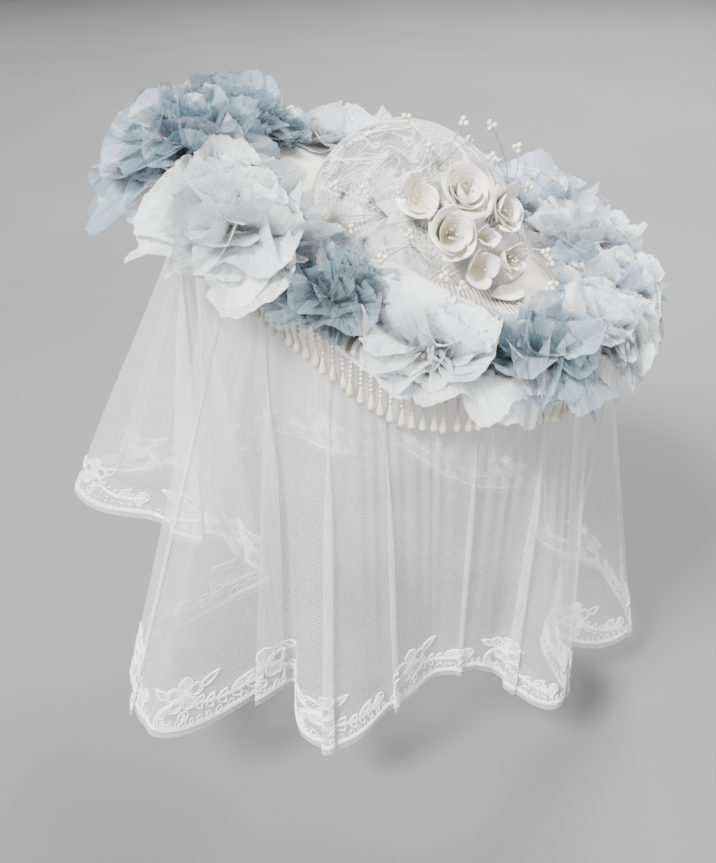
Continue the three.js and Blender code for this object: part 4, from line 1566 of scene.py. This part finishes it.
def twisted(start, bend, end):
    """Two wires twisted round each other along a route."""
    length = (bend - start).length + (end - bend).length
    steps = max(16, round(length / WIRE_TWIST_PITCH * 5))
    strands = []
    for strand in (0, pi):
        route = []
        for i in range(steps + 1):
            share = i / steps
            p = curve_through(start, bend, end, share)
            ahead = (curve_through(start, bend, end, share + 0.01) - p).normalized()
            side = ahead.orthogonal().normalized()
            a = strand + share * length / WIRE_TWIST_PITCH * 2 * pi
            aside = side * cos(a) + ahead.cross(side) * sin(a)
            route.append(HAT @ (p + aside * WIRE_RADIUS * 1.05))
        strands.append(route)
    return strands


def make_spray(name, spots, number):
    rng = random.Random(70 + number)
    pearl = form_of(ball(20, 14, PEARL_RADIUS))
    out = crown_normal(spots[0].turn, spots[0].up)
    foot = crown_point(spots[0].turn, spots[0].up) + out * SPRAY_FOOT_OFF
    routes = []
    pearls = []
    for spot in spots[1:]:
        end = spray_point(spot)
        bend = foot.lerp(end, SPRAY_BEND_ALONG) + out * SPRAY_STAND_OFF * SPRAY_BEND_OUT
        routes.extend(twisted(foot, bend, end))
        side = TRIPLET_FACING.orthogonal().normalized()
        start = rng.uniform(0, 2 * pi)
        for k in range(3):
            a = start + k * 2 * pi / 3
            spread = side * cos(a) + TRIPLET_FACING.cross(side) * sin(a)
            place = end + spread * TRIPLET_RADIUS + TRIPLET_FACING * rng.uniform(0, 1) * MM
            pearls.append((pearl, Matrix.Translation(HAT @ place), (1, 1, 1)))
            routes.append([HAT @ end, HAT @ place])
    wires = threads(name + "_wires", routes, WIRE_RADIUS, 1)
    smooth_shade(wires)
    dress(wires, WIRE)
    beads = joined(name + "_pearls", pearls)
    smooth_shade(beads)
    dress(beads, PEARL, [name])


# Stage, light and camera

def make_stage():
    """Plain grey floor, soft lights and the camera."""
    bpy.ops.mesh.primitive_plane_add(size=30, location=(0, 6, cad_bounds[0][2] - 0.05))
    floor = bpy.context.object
    floor.name = "floor"
    material, tree, shader = new_material("floor_paint", 0.8)
    tones = [(0.4, grey(0.12)), (0.6, grey(0.13))]
    feed(shader, "Base Color", cloudy(object_place(tree), 1.5, 3.0, tones))
    floor.data.materials.append(material)
    for row in LAMPS:
        light = bpy.data.lights.new(row.name, "AREA")
        light.size = row.size
        light.energy = row.power
        light.spread = radians(LAMP_SPREAD)
        lamp = bpy.data.objects.new(row.name, light)
        lamp.location = row.place
        lamp.visible_camera = False
        aim = LAMP_AIM - lamp.location
        lamp.rotation_euler = aim.to_track_quat("-Z", "Y").to_euler()
        bpy.context.collection.objects.link(lamp)
    world = bpy.data.worlds.new("soft_room")
    world.use_nodes = True
    sky = world.node_tree.nodes["Background"].inputs
    sky["Color"].default_value = (0.9, 0.9, 0.92, 1)
    sky["Strength"].default_value = SKY_STRENGTH
    bpy.context.scene.world = world
    camera_data = bpy.data.cameras.new("camera")
    camera_data.lens = CAMERA_LENS
    camera_data.sensor_width = 36
    camera = bpy.data.objects.new("camera", camera_data)
    camera.location = CAMERA_PLACE
    camera.rotation_euler = (radians(CAMERA_TILT), 0, 0)
    bpy.context.collection.objects.link(camera)
    bpy.context.scene.camera = camera


make_stage()
deselect_all()
make_crown()
make_crown_lace()
make_brim()
veil = make_veil()
ground = make_lace_ground()
lace = make_lace_threads()
make_fringe()
for number, row in enumerate(FLOWERS):
    make_flower(row, number)
for number, row in enumerate(ROSES):
    make_rose(row, number)
for row in LEAVES:
    make_leaf(row)
for number, (name, spots) in enumerate(SPRAYS.items()):
    make_spray(name, spots, number)
